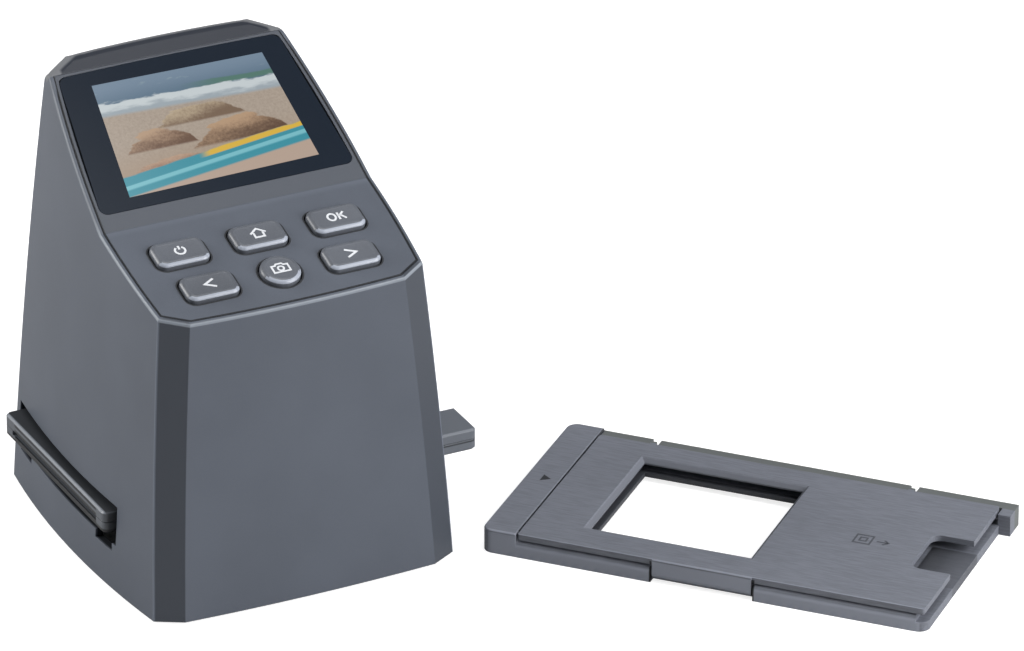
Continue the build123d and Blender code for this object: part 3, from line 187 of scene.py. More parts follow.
def noise(tree, vector, detail=2.0, roughness=0.5):
    """Soft noise with features about one unit of the vector in size."""
    node = tree.nodes.new("ShaderNodeTexNoise")
    node.inputs["Scale"].default_value = 1.0
    node.inputs["Detail"].default_value = detail
    node.inputs["Roughness"].default_value = roughness
    tree.links.new(vector, node.inputs["Vector"])
    return Value(tree, node.outputs[0])


def mix(tree, share, first, second):
    """A colour between two others, which are colours or sockets."""
    node = tree.nodes.new("ShaderNodeMix")
    node.data_type = "RGBA"
    tree.links.new(share.socket, node.inputs[0])
    for slot, colour in ((node.inputs[6], first), (node.inputs[7], second)):
        if isinstance(colour, bpy.types.NodeSocket):
            tree.links.new(colour, slot)
        else:
            slot.default_value = (*colour, 1)
    return node.outputs[2]


def shade(colour, factor):
    """A colour made darker or lighter by a factor."""
    return tuple(channel * factor for channel in colour)


def vary(tree, bsdf, share, colour, low, high):
    """Base colour that varies between two shades of one colour."""
    tree.links.new(mix(tree, share, shade(colour, low), shade(colour, high)), bsdf.inputs["Base Color"])


def bump(tree, bsdf, height, depth_mm, soft_mm=0.0):
    """Raise the surface by a height pattern, over edges softened by a radius."""
    node = tree.nodes.new("ShaderNodeBump")
    node.inputs["Strength"].default_value = 1.0
    node.inputs["Distance"].default_value = depth_mm * MM
    tree.links.new(height.socket, node.inputs["Height"])
    if soft_mm:
        bevel = tree.nodes.new("ShaderNodeBevel")
        bevel.samples = 6
        bevel.inputs["Radius"].default_value = soft_mm * MM
        tree.links.new(bevel.outputs[0], node.inputs["Normal"])
    tree.links.new(node.outputs[0], bsdf.inputs["Normal"])


class Coat:
    """The base colour of a material, with further colours laid over it where a mask is 1."""

    def __init__(self, material):
        self.material, self.tree = material, material.node_tree
        self.target = self.tree.nodes["Principled BSDF"].inputs["Base Color"]
        self.colour = self.target.links[0].from_socket

    def lay(self, mask, colour):
        """Lay one more colour over the rest."""
        self.colour = mix(self.tree, mask, self.colour, colour)

    def done(self):
        """Join the colours to the shader and give back the material."""
        self.tree.links.new(self.colour, self.target)
        return self.material


# ------------------------------------------------------------------ plain materials
CLOUD_MM, FLOW_MM, FLOW_STRETCH = 28.0, 0.55, 0.09      # clouds of tone, width and drawing-out of flow lines


def moulded(name, colour, rough=0.42, grain_mm=0.22, depth_mm=0.012, soft_mm=0.25, streak=0.0,
            gloss=0.5, turn=0.0, spread=0.07):
    """Moulded plastic: fine grain, faint clouds and, where asked, flow streaks along one way."""
    material, tree, bsdf = shader(name)
    clouds = noise(tree, place(tree, CLOUD_MM), 3.0)
    fine = noise(tree, place(tree, grain_mm), 2.0, 0.6)
    tone = clouds * 0.6 + fine * 0.4
    grain = fine
    if streak:
        lines = noise(tree, place(tree, FLOW_MM, (FLOW_STRETCH, 1.0, 1.0), turn), 3.0, 0.65)
        tone = tone * (1 - streak) + lines * streak
        grain = fine * 0.5 + lines * 0.9
    vary(tree, bsdf, tone.step(0.3, 0.7), colour, 1 - spread, 1 + spread)
    dull = fine * 0.16 + (rough - 0.08)
    tree.links.new(dull.socket, bsdf.inputs["Roughness"])
    bsdf.inputs["Specular IOR Level"].default_value = gloss
    bump(tree, bsdf, grain, depth_mm, soft_mm)
    return material


def metal(name, colour, rough=0.32, brushed=(1, 0.04, 1)):
    """Thin pressed or turned metal with brushed lines."""
    material, tree, bsdf = shader(name)
    lines = noise(tree, place(tree, 0.15, brushed), 3.0)
    vary(tree, bsdf, lines, colour, 0.88, 1.06)
    tree.links.new((lines * 0.14 + (rough - 0.07)).socket, bsdf.inputs["Roughness"])
    bsdf.inputs["Metallic"].default_value = 1.0
    bump(tree, bsdf, lines, 0.004)
    return material


def board(name, colour):
    """A lacquered circuit board: tracks and pads under the lacquer."""
    material, tree, bsdf = shader(name)
    cells = tree.nodes.new("ShaderNodeTexVoronoi")
    cells.distance = "MANHATTAN"
    cells.inputs["Scale"].default_value = 1.0
    tree.links.new(place(tree, 3.2), cells.inputs["Vector"])
    tracks = Value(tree, cells.outputs["Distance"]).step(0.42, 0.5)
    vary(tree, bsdf, tracks, colour, 1.0, 1.7)
    bsdf.inputs["Roughness"].default_value = 0.28
    bump(tree, bsdf, tracks, 0.03)
    return material


def glow(name, colour, strength):
    """Milky plastic or phosphor that gives a little light."""
    material, tree, bsdf = shader(name)
    clouds = noise(tree, place(tree, 0.8), 2.0)
    vary(tree, bsdf, clouds, colour, 0.95, 1.0)
    bsdf.inputs["Emission Color"].default_value = (*colour, 1)
    bsdf.inputs["Emission Strength"].default_value = strength
    bsdf.inputs["Roughness"].default_value = 0.35
    return material


def pane(name, colour, rough=0.08):
    """Glossy pane printed from behind, with a trace of dust in its gloss."""
    material, tree, bsdf = shader(name)
    clouds = noise(tree, place(tree, 14.0), 2.0)
    dust = noise(tree, place(tree, 0.5), 2.0)
    vary(tree, bsdf, clouds, colour, 0.94, 1.06)
    tree.links.new((dust * 0.06 + rough).socket, bsdf.inputs["Roughness"])
    bsdf.inputs["IOR"].default_value = 1.15
    return material


def clear(name, colour):
    """Clear glass of a lens, with a faint unevenness of tint."""
    material, tree, bsdf = shader(name)
    clouds = noise(tree, place(tree, 5.0), 1.0)
    vary(tree, bsdf, clouds, colour, 1.0, 0.97)
    bsdf.inputs["Transmission Weight"].default_value = 1.0
    bsdf.inputs["Roughness"].default_value = 0.02
    return material


# ------------------------------------------------------------------ plastics of the four large pieces
SLATE = (0.086, 0.098, 0.122)
KEY_GREY = (0.098, 0.107, 0.125)
TRAY_GREY = (0.088, 0.097, 0.112)
HOLDER_GREY = (0.155, 0.166, 0.196)
# Painted highlight for the front rim, and painted shade for the seams, slots and gaps.
RIM_HIGHLIGHT = (0.21, 0.235, 0.27)
SEAM_SHADE = (0.012, 0.014, 0.018)
DEEP_SHADE = (0.014, 0.016, 0.02)
BROW_HIGHLIGHT = (0.155, 0.161, 0.172)      # painted highlight on the rounded edge behind the screen
BROW_SHADE = (0.023, 0.027, 0.037)       # painted shade on the flat strip between that edge and the glass
RAIL_OLIVE = (0.118, 0.128, 0.128)

# Bands of painted shade and highlight, in mm: each pair says where a band starts to change and where the
# change ends.
CORNER_LINE = (0.2, 0.7)                            # painted highlight round the edges of the cut corners
BROW_DEPTH, BROW_SIDE = (2.0, 3.0), (3.0, 4.0)      # below the slopes, and in from the walls
FRONT_PART = (42.0, 46.0)                           # where the rim's painted highlight and the seam's painted shade end, up the screen's slope
RIM_TOP, RIM_FOOT = (0.02, 0.16), (0.7, 0.95)
SEAM_FOOT, SEAM_SIDE = (0.4, 0.6), (0.75, 0.95)
SLOT_LOW, SLOT_HIGH, SLOT_WALL = 9.0, 26.0, (0.4, 0.6)
CREASE_LOW, CREASE_HIGH = (-2.4, -0.4), (-0.3, 0.1)
PANEL_SEAM = (1.44, 1.62)
WINDOW_TOP, WINDOW_DEEP, WINDOW_LEDGE = (6.05, 6.35), (3.2, 3.6), (4.2, 5.0)
THUMB_DEEP, THUMB_FADE_U, THUMB_FADE_V = (4.5, 4.8), (104.0, 126.0), (-14.0, 46.0)
NEAR_SIDE, NEAR_TOP = (0.05, 0.35), (5.9, 6.2)      # painted light on the holder's near side, below its top edge
TRAY_OUT = (30.0, 31.0)                             # from here outwards the tray is out of the tower
TRAY_LIP, TRAY_LIP_SIDE = (0.45, 0.55), (0.7, 0.9)  # painted highlight on the edge of its left end: down, and inwards


class Tower:
    """The place of a shading point on the tower, in millimetres: depths below its faces."""

    def __init__(self, tree):
        x, y, z = axes(tree, place(tree))
        self.x, self.z = x.size(), z
        half = half_width(z)
        self.inset = half - self.x - y * y / (2 * SIDE_BOW_R)
        self.cut = self.edge = None
        ends = ((z * -FRONT_LEAN + FRONT_Y, y * -1), (z * -BACK_LEAN + BACK_Y, y))
        for wall, depth in ends:
            inner = wall - CORNER_D
            corner = half - inner * inner / (2 * SIDE_BOW_R)
            cut = (self.x - corner + CORNER_W).step(-0.15, 0.15) * (depth - inner).step(-0.1, 0.2)
            edge = (self.x - corner).size() + (depth - inner).size()
            across = (corner - self.x) * CORNER_D + (inner - depth) * CORNER_W
            bow = self.x * self.x / (-2 * END_BOW_R) + END_RISE
            self.cut = cut if self.cut is None else self.cut.most(cut)
            self.edge = edge if self.edge is None else self.edge.least(edge)
            for depth_in in (across / hypot(CORNER_W, CORNER_D), wall + bow - depth):
                self.inset = self.inset.least(depth_in)
        roofs = []
        for origin, slope in ((FRONT_EDGE, KEY_SLOPE), (CREASE, SCREEN_SLOPE)):
            roofs.append((z - origin.z) * cos(slope) - (y - origin.y) * sin(slope))
        self.under = roofs[0].least(roofs[1]) * -1
        self.run = (y - CREASE.y) * cos(SCREEN_SLOPE) + (z - CREASE.z) * sin(SCREEN_SLOPE)


def shell_plastic():
    """The tower's plastic: painted shade on the cut corners, the brow's flat strip, the rim's seam and the
    tray's slots; painted highlights along the corners' edges, on the rounded brow and along the front rim.
    """
    coat = Coat(moulded("shell_plastic", SLATE, gloss=0.35))
    tower = Tower(coat.tree)
    # Painted shade on the cut corners, and a painted highlight along their edges.
    coat.lay(tower.cut, shade(SLATE, 0.62))
    coat.lay(tower.edge.below(*CORNER_LINE), shade(SLATE, 1.5))
    # A painted highlight on the rounded brow behind the screen, and painted shade on its flat strip by the
    # glass.
    brow = (tower.run - SCREEN_RUN).step(-0.2, 0.2) * tower.under.below(*BROW_DEPTH)
    coat.lay(brow, BROW_HIGHLIGHT)
    coat.lay(brow * tower.inset.step(*BROW_SIDE), BROW_SHADE)
    # A painted highlight along the front rim, fainter up the screen's slope, and painted shade in the seam
    # inside it.
    front = tower.run.below(*FRONT_PART)
    rim = tower.under.step(*RIM_TOP) * tower.under.below(*RIM_FOOT) * front
    coat.lay(rim * (tower.run.step(0, 6.0) * -0.7 + 1), RIM_HIGHLIGHT)
    coat.lay(tower.under.below(*SEAM_FOOT) * tower.inset.step(*SEAM_SIDE) * front, SEAM_SHADE)
    # Painted shade inside the tray's slots.
    coat.lay(tower.z.inside(SLOT_LOW, SLOT_HIGH, 0.2) * tower.inset.step(*SLOT_WALL), DEEP_SHADE)
    return coat.done()


def panel_plastic():
    """The control panel's plastic: painted shade on the screen's slope, a painted highlight along the crease
    below it, and painted shade in its seam.
    """
    coat = Coat(moulded("panel_plastic", shade(SLATE, 0.98), grain_mm=0.28, depth_mm=0.016,
                        gloss=0.4, spread=0.12))
    tower = Tower(coat.tree)
    # Painted shade on the screen's slope.
    coat.lay(tower.run.step(-0.6, 0.2), shade(SLATE, 0.72))
    # A painted highlight along the crease.
    crease = tower.run.step(*CREASE_LOW) * tower.run.below(*CREASE_HIGH)
    coat.lay(crease * 0.6, shade(SLATE, 1.3))
    # Painted shade in the seam round the panel.
    coat.lay(tower.inset.below(*PANEL_SEAM), DEEP_SHADE)
    return coat.done()


def holder_window(coat, u, v, z):
    """Three bands of shade down the walls of the holder's window."""
    margin, soft = 0.4, 0.3
    window = u.inside(WINDOW_U[0] - margin, WINDOW_U[1] + margin, soft)
    window = window * v.inside(WINDOW_V[0] - margin, WINDOW_V[1] + margin, soft)
    coat.lay(window * z.below(*WINDOW_TOP), shade(HOLDER_GREY, 0.85))
    coat.lay(window * z.below(*WINDOW_DEEP), shade(HOLDER_GREY, 0.3))
    coat.lay(window * z.inside(*WINDOW_LEDGE, 0.2), shade(HOLDER_GREY, 0.75))


def holder_plastic():
    """The loose holder's streaky plastic, olive on its rail, with painted shade inside its window, its
    notch, its hinge's gaps and at the bar's end, and painted light on its near side and near top edge.
    """
    coat = Coat(moulded("holder_plastic", HOLDER_GREY, 0.44, 0.3, 0.02, 0.2, 0.75, turn=-TURN, spread=0.16))
    x, y, z = axes(coat.tree, place(coat.tree))
    x, y = x - HOLDER_AT.x, y - HOLDER_AT.y
    u = x * ALONG.x + y * ALONG.y
    v = x * ACROSS.x + y * ACROSS.y
    holder_window(coat, u, v, z)
    # Painted shade in the notch, graded across it.
    notch = u.step(THUMB_START - 0.5, THUMB_START + 0.1) * v.inside(THUMB_V[0] - 0.6, THUMB_V[1] + 0.6, 0.6)
    fade = u.below(*THUMB_FADE_U) * 0.55 + v.below(*THUMB_FADE_V) * -0.5 + 0.5
    coat.lay(notch * z.below(*THUMB_DEEP) * fade, shade(HOLDER_GREY, 0.12))
    coat.lay(v.step(COVER_FAR + 0.4, COVER_FAR + 0.6) * u.step(BAR_L + 0.1, BAR_L + 0.5), RAIL_OLIVE)
    # Painted light on the near side.
    coat.lay(v.below(*NEAR_SIDE) * z.below(*NEAR_TOP), shade(HOLDER_GREY, 1.8))
    # Painted shade in the hinge's gaps on the near side, and at the bar's end.
    gaps = u.near(HINGE_START, 0.5, 0.2).most(u.near(HINGE_END, 0.5, 0.2))
    coat.lay(gaps * v.below(0.7, 0.9) * z.below(5.7, 6.0), shade(HOLDER_GREY, 0.1))
    coat.lay(u.near(BAR_L + 0.05, 0.32, 0.15) * v.step(2.4, 2.8), shade(HOLDER_GREY, 0.2))
    # A painted highlight along the near top edge.
    top = z.step(HOLDER_T - 0.14, HOLDER_T - 0.08)
    coat.lay(top * v.below(0.8, 0.95), shade(HOLDER_GREY, 1.5))
    return coat.done()


def tray_plastic():
    """The tray's plastic: on its left end painted shade on top, a painted highlight along its edge and
    painted shade in and below its groove; painted light on its right end.
    """
    coat = Coat(moulded("tray_plastic", TRAY_GREY, 0.4, 0.25, 0.012, 0.25, 0.3))
    x, y, z = axes(coat.tree, place(coat.tree))
    tip, front = -TRAY_LEFT, TRAY_Y - TRAY_W / 2
    left, right = (x * -1).step(*TRAY_OUT), x.step(*TRAY_OUT)
    inwards, down = x - tip, z * -1 + TRAY_TOP
    # Painted shade on the top of the left end, and a painted highlight along its edge.
    coat.lay(left * down.below(0.06, 0.12) * inwards.step(0.55, 0.75), shade(TRAY_GREY, 0.3))
    coat.lay(left * down.below(*TRAY_LIP) * inwards.below(*TRAY_LIP_SIDE), shade(TRAY_GREY, 1.8))
    # Painted shade in the end face's groove, on its lower part, at its foot and along its front edge.
    middle = left * y.inside(TRAY_Y - 26.8, TRAY_Y + 25.2, 0.4) * inwards.below(0.3, 0.5)
    groove = middle * down.inside(0.55, 1.4, 0.1)
    low = middle * z.below(TRAY_FLOOR + 3.85, TRAY_FLOOR + 4.0)
    foot = left * z.below(TRAY_FLOOR + 1.0, TRAY_FLOOR + 1.3)
    end = left * y.below(front - 0.15, front + 0.25)
    coat.lay(groove.most(low).most(foot).most(end), shade(TRAY_GREY, 0.14))
    # Painted light on the right end, with a darker line along it.
    coat.lay(right, shade(TRAY_GREY, 1.45))
    coat.lay(right * z.near(TRAY_FLOOR + 2.6, 0.3, 0.15), shade(TRAY_GREY, 0.4))
    return coat.done()


key_finish = moulded("key_plastic", KEY_GREY, 0.36, 0.3, 0.012, 0.0, spread=0.2)
# A painted highlight for the front faces of the keys' bevels.
key_highlight_finish = moulded("painted_key_highlight", shade(KEY_GREY, 3.2), 0.34, 0.3, 0.004, 0.0)
glass_finish = pane("pane_print", (0.012, 0.017, 0.026))
ink_finish = moulded("white_ink", (0.62, 0.64, 0.67), 0.5, 0.1, 0.003, 0.0)
mark_finish = moulded("moulded_mark", shade(HOLDER_GREY, 0.45), 0.5, 0.3, 0.012, 0.0)
# Dark finish for painted shade in the keys' wells; the triangle on the bar has it too.
recess_finish = moulded("shaded_recess", (0.02, 0.022, 0.026), 0.6, 0.3, 0.012, 0.0)

FINISHES = {
    shell_plastic(): ("body_shell",),
    moulded("base_plastic", shade(SLATE, 0.8)): ("base_plate",),
    panel_plastic(): ("control_panel",),
    moulded("rubber", (0.02, 0.02, 0.021), 0.75, 0.18, 0.02, gloss=0.3): ("rubber_feet",),
    metal("screw_steel", (0.52, 0.52, 0.54)): (
        "base_screws", "frame_screws", "key_board_screws", "sensor_screws", "main_board_screws",
        "tray_springs", "holder_pin"),
    metal("frame_metal", (0.62, 0.62, 0.63), 0.28): ("lcd_frame", "usb_socket", "card_socket"),
    glass_finish: ("screen_glass",),
    moulded("display_frame", (0.06, 0.065, 0.075), 0.4, 0.3): ("lcd_module",),
    board("circuit_board", (0.012, 0.11, 0.045)): ("key_board", "led_board", "sensor_board", "main_board"),
    moulded("black_plastic", (0.012, 0.012, 0.013), 0.55, 0.3): (
        "film_channel", "channel_lid", "camera_hood", "lens_barrel", "key_switches"),
    moulded("white_plastic", (0.8, 0.8, 0.79), 0.45, 0.3): ("light_box", "flex_sockets"),
    glow("led_phosphor", (0.9, 0.82, 0.5), 0.3): ("backlight_leds",),
    glow("diffuser_sheet", (0.85, 0.85, 0.85), 0.15): ("diffuser",),
    clear("lens_glass", (0.93, 0.95, 0.97)): ("front_lens", "rear_lens"),
    moulded("chip_package", (0.02, 0.02, 0.022), 0.5, 0.12, 0.008): ("image_sensor", "processor"),
    moulded("flat_cable", (0.42, 0.2, 0.05), 0.3, 0.5, 0.01, 0.0, 0.4): ("lcd_flex", "key_flex"),
    key_finish: ("power_key", "home_key", "ok_key", "left_key", "capture_key", "right_key"),
    tray_plastic(): ("tray_base", "tray_lid"),
    holder_plastic(): ("holder_base", "holder_cover"),
}
for finish, names in FINISHES.items():
    for name in names:
        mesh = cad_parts[name].data
        mesh.materials.clear()
        mesh.materials.append(finish)

# ------------------------------------------------------------------ mesh helpers


def piece(name, bm, finish, body, smooth=40):
    """A finished mesh as an object that rides on a body."""
    bmesh.ops.recalc_face_normals(bm, faces=bm.faces)
    mesh = bpy.data.meshes.new(name)
    bm.to_mesh(mesh)
    bm.free()
    mesh.materials.append(finish)
    obj = bpy.data.objects.new(name, mesh)
    bpy.context.scene.collection.objects.link(obj)
    mesh.shade_smooth()
    mesh.set_sharp_from_angle(angle=radians(smooth))
    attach(obj, body)
    return obj


def raised(points, height):
    """Flat points as points at a height."""
    return [(x, y, height) for x, y in points]


def rounded(half_x, half_y, radius, steps=8):
    """Points of a rounded rectangle, anticlockwise from the right side."""
    points = []
    for quarter, (sx, sy) in enumerate(((1, 1), (-1, 1), (-1, -1), (1, -1))):
        for step in range(steps + 1):
            angle = pi / 2 * (quarter + step / steps)
            points.append((sx * (half_x - radius) + radius * cos(angle),
                           sy * (half_y - radius) + radius * sin(angle)))
    return points


def loft(bm, rings, field, caps=(True, True)):
    """Join rings of (x, y, z) points, drawn in a field's millimetres, into one skin."""
    made = [[bm.verts.new(field @ Vector(point)) for point in ring] for ring in rings]
    for low, high in zip(made, made[1:]):
        for index in range(len(low)):
            after = (index + 1) % len(low)
            bm.faces.new((low[index], low[after], high[after], high[index]))
    for wanted, ring in zip(caps, (made[0], made[-1])):
        if wanted:
            bm.faces.new(ring)
    return made


def stroke(bm, points, width, low, high, field, closed=False):
    """A printed line of even width through flat points, as a thin raised ribbon."""
    count = len(points)
    left, right = [], []
    for index in range(count):
        here = Vector(points[index])
        before = Vector(points[index - 1]) if closed or index else None
        after = Vector(points[(index + 1) % count]) if closed or index < count - 1 else None
        way_in = (here - before).normalized() if before else (after - here).normalized()
        way_out = (after - here).normalized() if after else way_in
        normal = Vector((-(way_in + way_out).y, (way_in + way_out).x)).normalized()
        reach = width / 2 / max(0.35, normal.dot(Vector((-way_in.y, way_in.x))))
        left.append(here + normal * reach)
        right.append(here - normal * reach)
    turns = count if closed else count - 1
    walls = [[bm.verts.new(field @ Vector((p.x, p.y, z))) for p in side]
             for side in (left, right) for z in (low, high)]
    for index in range(turns):
        after = (index + 1) % count
        for first, second in ((0, 1), (1, 3), (3, 2), (2, 0)):
            bm.faces.new((walls[first][index], walls[first][after],
                          walls[second][after], walls[second][index]))
    if not closed:
        for index in (0, -1):
            bm.faces.new([walls[wall][index] for wall in (0, 1, 3, 2)])


def arc(x, y, radius, start, end, steps=20, squash=1.0):
    """Points along an arc between two angles in degrees."""
    angles = [radians(start + (end - start) * step / steps) for step in range(steps + 1)]
    return [(x + radius * cos(angle), y + squash * radius * sin(angle)) for angle in angles]


# ------------------------------------------------------------------ keys and their symbols
KEY_W, KEY_D, KEY_R, ROUND_R = 14.4, 9.0, 2.4, 5.3
KEYS = {
    "power_key": (-21.76, 24.8), "home_key": (0.0, 24.8), "ok_key": (21.76, 24.8),
    "left_key": (-19.66, 11.0), "capture_key": (0.0, 11.0), "right_key": (19.66, 11.0),
}
# Outline drawn in, and height above the panel, from the flange up to the slightly hollow top.
KEY_PROFILE = ((-1.25, -3.24), (-1.25, -2.44), (0.0, -2.44), (0.0, 0.55), (0.06, 0.85), (0.24, 1.12),
               (0.5, 1.36), (0.85, 1.55), (1.15, 1.66), (1.35, 1.69), (1.5, 1.66), (2.0, 1.62))
LIT_FROM, LIT_TO = 4, 7             # rows of that profile whose front side takes the painted highlight finish
LIT_SLANT = 0.45                    # and how far its faces turn to the front
WELL_IN, WELL_OUT = 0.46, 0.85      # painted shade round each cap, from the cap's side
WELL_T, WELL_DEPTH = 0.012, 0.6
INK_LOW, INK_HIGH, INK_SCALE = 1.6, 1.665, 0.92


def key_ring(name, inset, height):
    """Outline of a key, drawn in by inset, at a height above the panel."""
    if name == "capture_key":
        outline = rounded(ROUND_R - inset, ROUND_R - inset, ROUND_R - inset - 0.001, 10)
    else:
        outline = rounded(KEY_W / 2 - inset, KEY_D / 2 - inset, max(KEY_R - inset, 0.5), 10)
    x, y = KEYS[name]
    return [(x + dx, y + dy, height) for dx, dy in outline]


def key_cap(name):
    """A softly bevelled cap with a hollow top, in place of the plain key."""
    bm = bmesh.new()
    rings = loft(bm, [key_ring(name, *row) for row in KEY_PROFILE], KEY_FIELD)
    middle = KEY_FIELD @ Vector((*KEYS[name], 0))
    # The front faces of the bevel take the painted highlight finish.
    for low, high in zip(rings[LIT_FROM:LIT_TO], rings[LIT_FROM + 1:]):
        for index, vertex in enumerate(low):
            after = (index + 1) % len(low)
            face = bm.faces.get((vertex, low[after], high[after], high[index]))
            face.normal_update()
            if abs(face.normal.y) > LIT_SLANT and vertex.co.y < middle.y:
                face.material_index = 1
    cap = piece(name + "_cap", bm, key_finish, name, 35)
    cap.data.materials.append(key_highlight_finish)
    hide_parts(name)


def key_well_shade():
    """Dark sheets of painted shade in the gaps between the caps and the panel."""
    bm = bmesh.new()
    for name in KEYS:
        rows = ((WELL_OUT, 0.0), (WELL_OUT, WELL_T), (WELL_IN, WELL_T), (WELL_IN, -WELL_DEPTH))
        loft(bm, [key_ring(name, -reach, height) for reach, height in rows], KEY_FIELD, (False, False))
    piece("key_well_shade", bm, recess_finish, SCANNER)


def ink(name, key, lines, width=0.55):
    """White symbol printed on a key: lines of flat points round the key's middle."""
    bm = bmesh.new()
    for points, closed in lines:
        moved = [(KEYS[key][0] + x * INK_SCALE, KEYS[key][1] + y * INK_SCALE) for x, y in points]
        stroke(bm, moved, width, INK_LOW, INK_HIGH, KEY_FIELD, closed)
    piece(name, bm, ink_finish, key)


for name in KEYS:
    key_cap(name)
key_well_shade()
ink("power_mark", "power_key", [(arc(0, -0.1, 1.45, 125, 415, 28), False), ([(0, 0.3), (0, 1.75)], False)])
ink("home_mark", "home_key", [([(-2.3, 0.1), (0, 1.9), (2.3, 0.1)], False),
                              ([(-1.35, 0.35), (-1.35, -1.5), (1.35, -1.5), (1.35, 0.35)], False)])
ink("ok_mark", "ok_key", [(arc(-1.35, 0, 1.15, 0, 345, 23, 1.2), True),
                          ([(0.75, -1.4), (0.75, 1.4)], False),
                          ([(2.55, 1.4), (0.85, -0.1)], False), ([(1.4, 0.35), (2.65, -1.4)], False)])
ink("left_mark", "left_key", [([(1.5, 1.6), (-1.5, 0), (1.5, -1.6)], False)], 0.6)
ink("right_mark", "right_key", [([(-1.5, 1.6), (1.5, 0), (-1.5, -1.6)], False)], 0.6)
ink("capture_mark", "capture_key", [
    ([(-2.4, -1.5), (2.4, -1.5), (2.4, 1.15), (1.25, 1.15), (0.85, 1.75), (-0.85, 1.75),
      (-1.25, 1.15), (-2.4, 1.15)], True),
    (arc(0, -0.15, 0.85, 0, 345, 23), True)], 0.5)

# ------------------------------------------------------------------ screen glass and its picture
GLASS_LOW, GLASS_HIGH, GLASS_SIDE, GLASS_R, GLASS_BOW = 5.4, 47.81, 2.3, 2.2, 0.4
PANE_LOW = -1.16                                            # underside of the pane, below its face
ROUND_STEPS = 8                                             # points on a quarter circle
TOP_SHARES = (0.75, 0.5, 0.25, 0.0, -0.25, -0.5, -0.75)     # points along the glass's upper edge
PICTURE_W, PICTURE_H, PICTURE_MID = 50.7, 34.0, 26.35
PICTURE = ((24.61, 43.2), (-23.08, 43.7), (-26.2, 8.95), (27.1, 9.75))       # its corners on the slope
POINT_GAP = 0.002                                           # keeps the points of one corner apart

# Rocks in the sand: place, length, height, lit colour and shaded colour.
ROCKS = (
    (0.52, 0.53, 0.24, 0.16, (0.55, 0.44, 0.3), (0.2, 0.13, 0.08)),
    (0.27, 0.36, 0.2, 0.17, (0.5, 0.34, 0.22), (0.15, 0.08, 0.045)),
    (0.7, 0.3, 0.27, 0.2, (0.5, 0.33, 0.2), (0.12, 0.065, 0.035)),
    (0.3, 0.14, 0.27, 0.13, (0.52, 0.35, 0.24), (0.2, 0.1, 0.06)),
)


def seaside():
    """A lit picture of a beach: grey-blue sea, surf, sand, low rocks and a striped towel."""
    material, tree, bsdf = shader("seaside_picture")
    coordinates = tree.nodes.new("ShaderNodeTexCoord")
    u, v, _ = axes(tree, coordinates.outputs["UV"])
    ripple = noise(tree, place(tree, 5.0, (0.5, 1.6, 1.6)), 3.0) - 0.5
    wisp = noise(tree, place(tree, 2.2, (0.35, 1.5, 1.5)), 4.0, 0.6) - 0.5
    speck = noise(tree, place(tree, 0.7), 3.0, 0.7) - 0.5

    def over(mask, first, second):
        """The second colour where the mask is 1, over the first."""
        return mix(tree, mask, first, second)

    def sea():
        """Grey-blue water, lighter to the horizon, with wisps and a green swell."""
        colour = over(v.step(0.72, 1.0), (0.085, 0.155, 0.225), (0.19, 0.27, 0.36))
        colour = over((wisp * 1.6 + 0.2).step(0.35, 0.6), colour, (0.28, 0.37, 0.42))
        swell = line.inside(0.83, 0.9, 0.02) * u.step(0.45, 0.75)
        return over(swell, colour, (0.09, 0.2, 0.16))

    def shore(colour):
        """Surf, wet sand and dry sand, down from the water's edge."""
        colour = over((line - wisp * 0.09).below(0.825, 0.845), colour, (0.62, 0.68, 0.7))
        colour = over((line - wisp * 0.12).below(0.74, 0.79), colour, (0.36, 0.42, 0.46))
        grain = over(speck * 2 + 0.5, (0.37, 0.3, 0.24), (0.49, 0.41, 0.33))
        colour = over((line - ripple * 0.05).below(0.7, 0.735), colour, grain)
        return over(v.below(0.0, 0.5), colour, (0.4, 0.29, 0.2))

    def rock(colour, x, y, length, height, bright, dark):
        """A low rock lying in the sand, lit from the upper left, flat below and rough on top."""
        wide = (u - x) / length + wisp * 0.25
        tall = (v - y) / height
        top = wide.size().math("POWER", 2.6) * -1 + 1 + ripple * 0.7 + wisp * 0.5
        tint = over((tall + wide * -0.4 + speck * 0.9 + ripple).step(-0.1, 1.1), dark, bright)
        return over((top - tall).step(0, 0.1) * tall.step(-0.12, 0.02), colour, tint)

    def towel(colour):
        """A teal cloth with a yellow and a pale stripe along the lower edge."""
        slope = v - u * 0.17
        cloth = (slope - ripple * 0.04).below(0.155, 0.17)
        colour = over(cloth, colour, (0.04, 0.3, 0.38))
        colour = over(cloth * slope.step(0.115, 0.125) * u.step(0.42, 0.5), colour, (0.75, 0.48, 0.05))
        pale = cloth * slope.step(0.04, 0.06) * slope.below(0.08, 0.09)
        colour = over(pale, colour, (0.2, 0.55, 0.62))
        return over(slope.below(-0.02, 0.0), colour, (0.5, 0.38, 0.3))

    line = v + u * 0.05 + ripple * 0.06
    colour = shore(sea())
    for row in ROCKS:
        colour = rock(colour, *row)
    bsdf.inputs["Base Color"].default_value = (0.01, 0.01, 0.012, 1)
    tree.links.new(towel(colour), bsdf.inputs["Emission Color"])
    bsdf.inputs["Emission Strength"].default_value = 0.85
    bsdf.inputs["Roughness"].default_value = 0.1
    bsdf.inputs["IOR"].default_value = 1.33
    return material


def side_at(run):
    """Half width of the glass, run mm up the screen's slope."""
    y, z = CREASE.y + run * cos(SCREEN_SLOPE), CREASE.z + run * sin(SCREEN_SLOPE)
    return half_width(z) - y * y / (2 * SIDE_BOW_R) - GLASS_SIDE


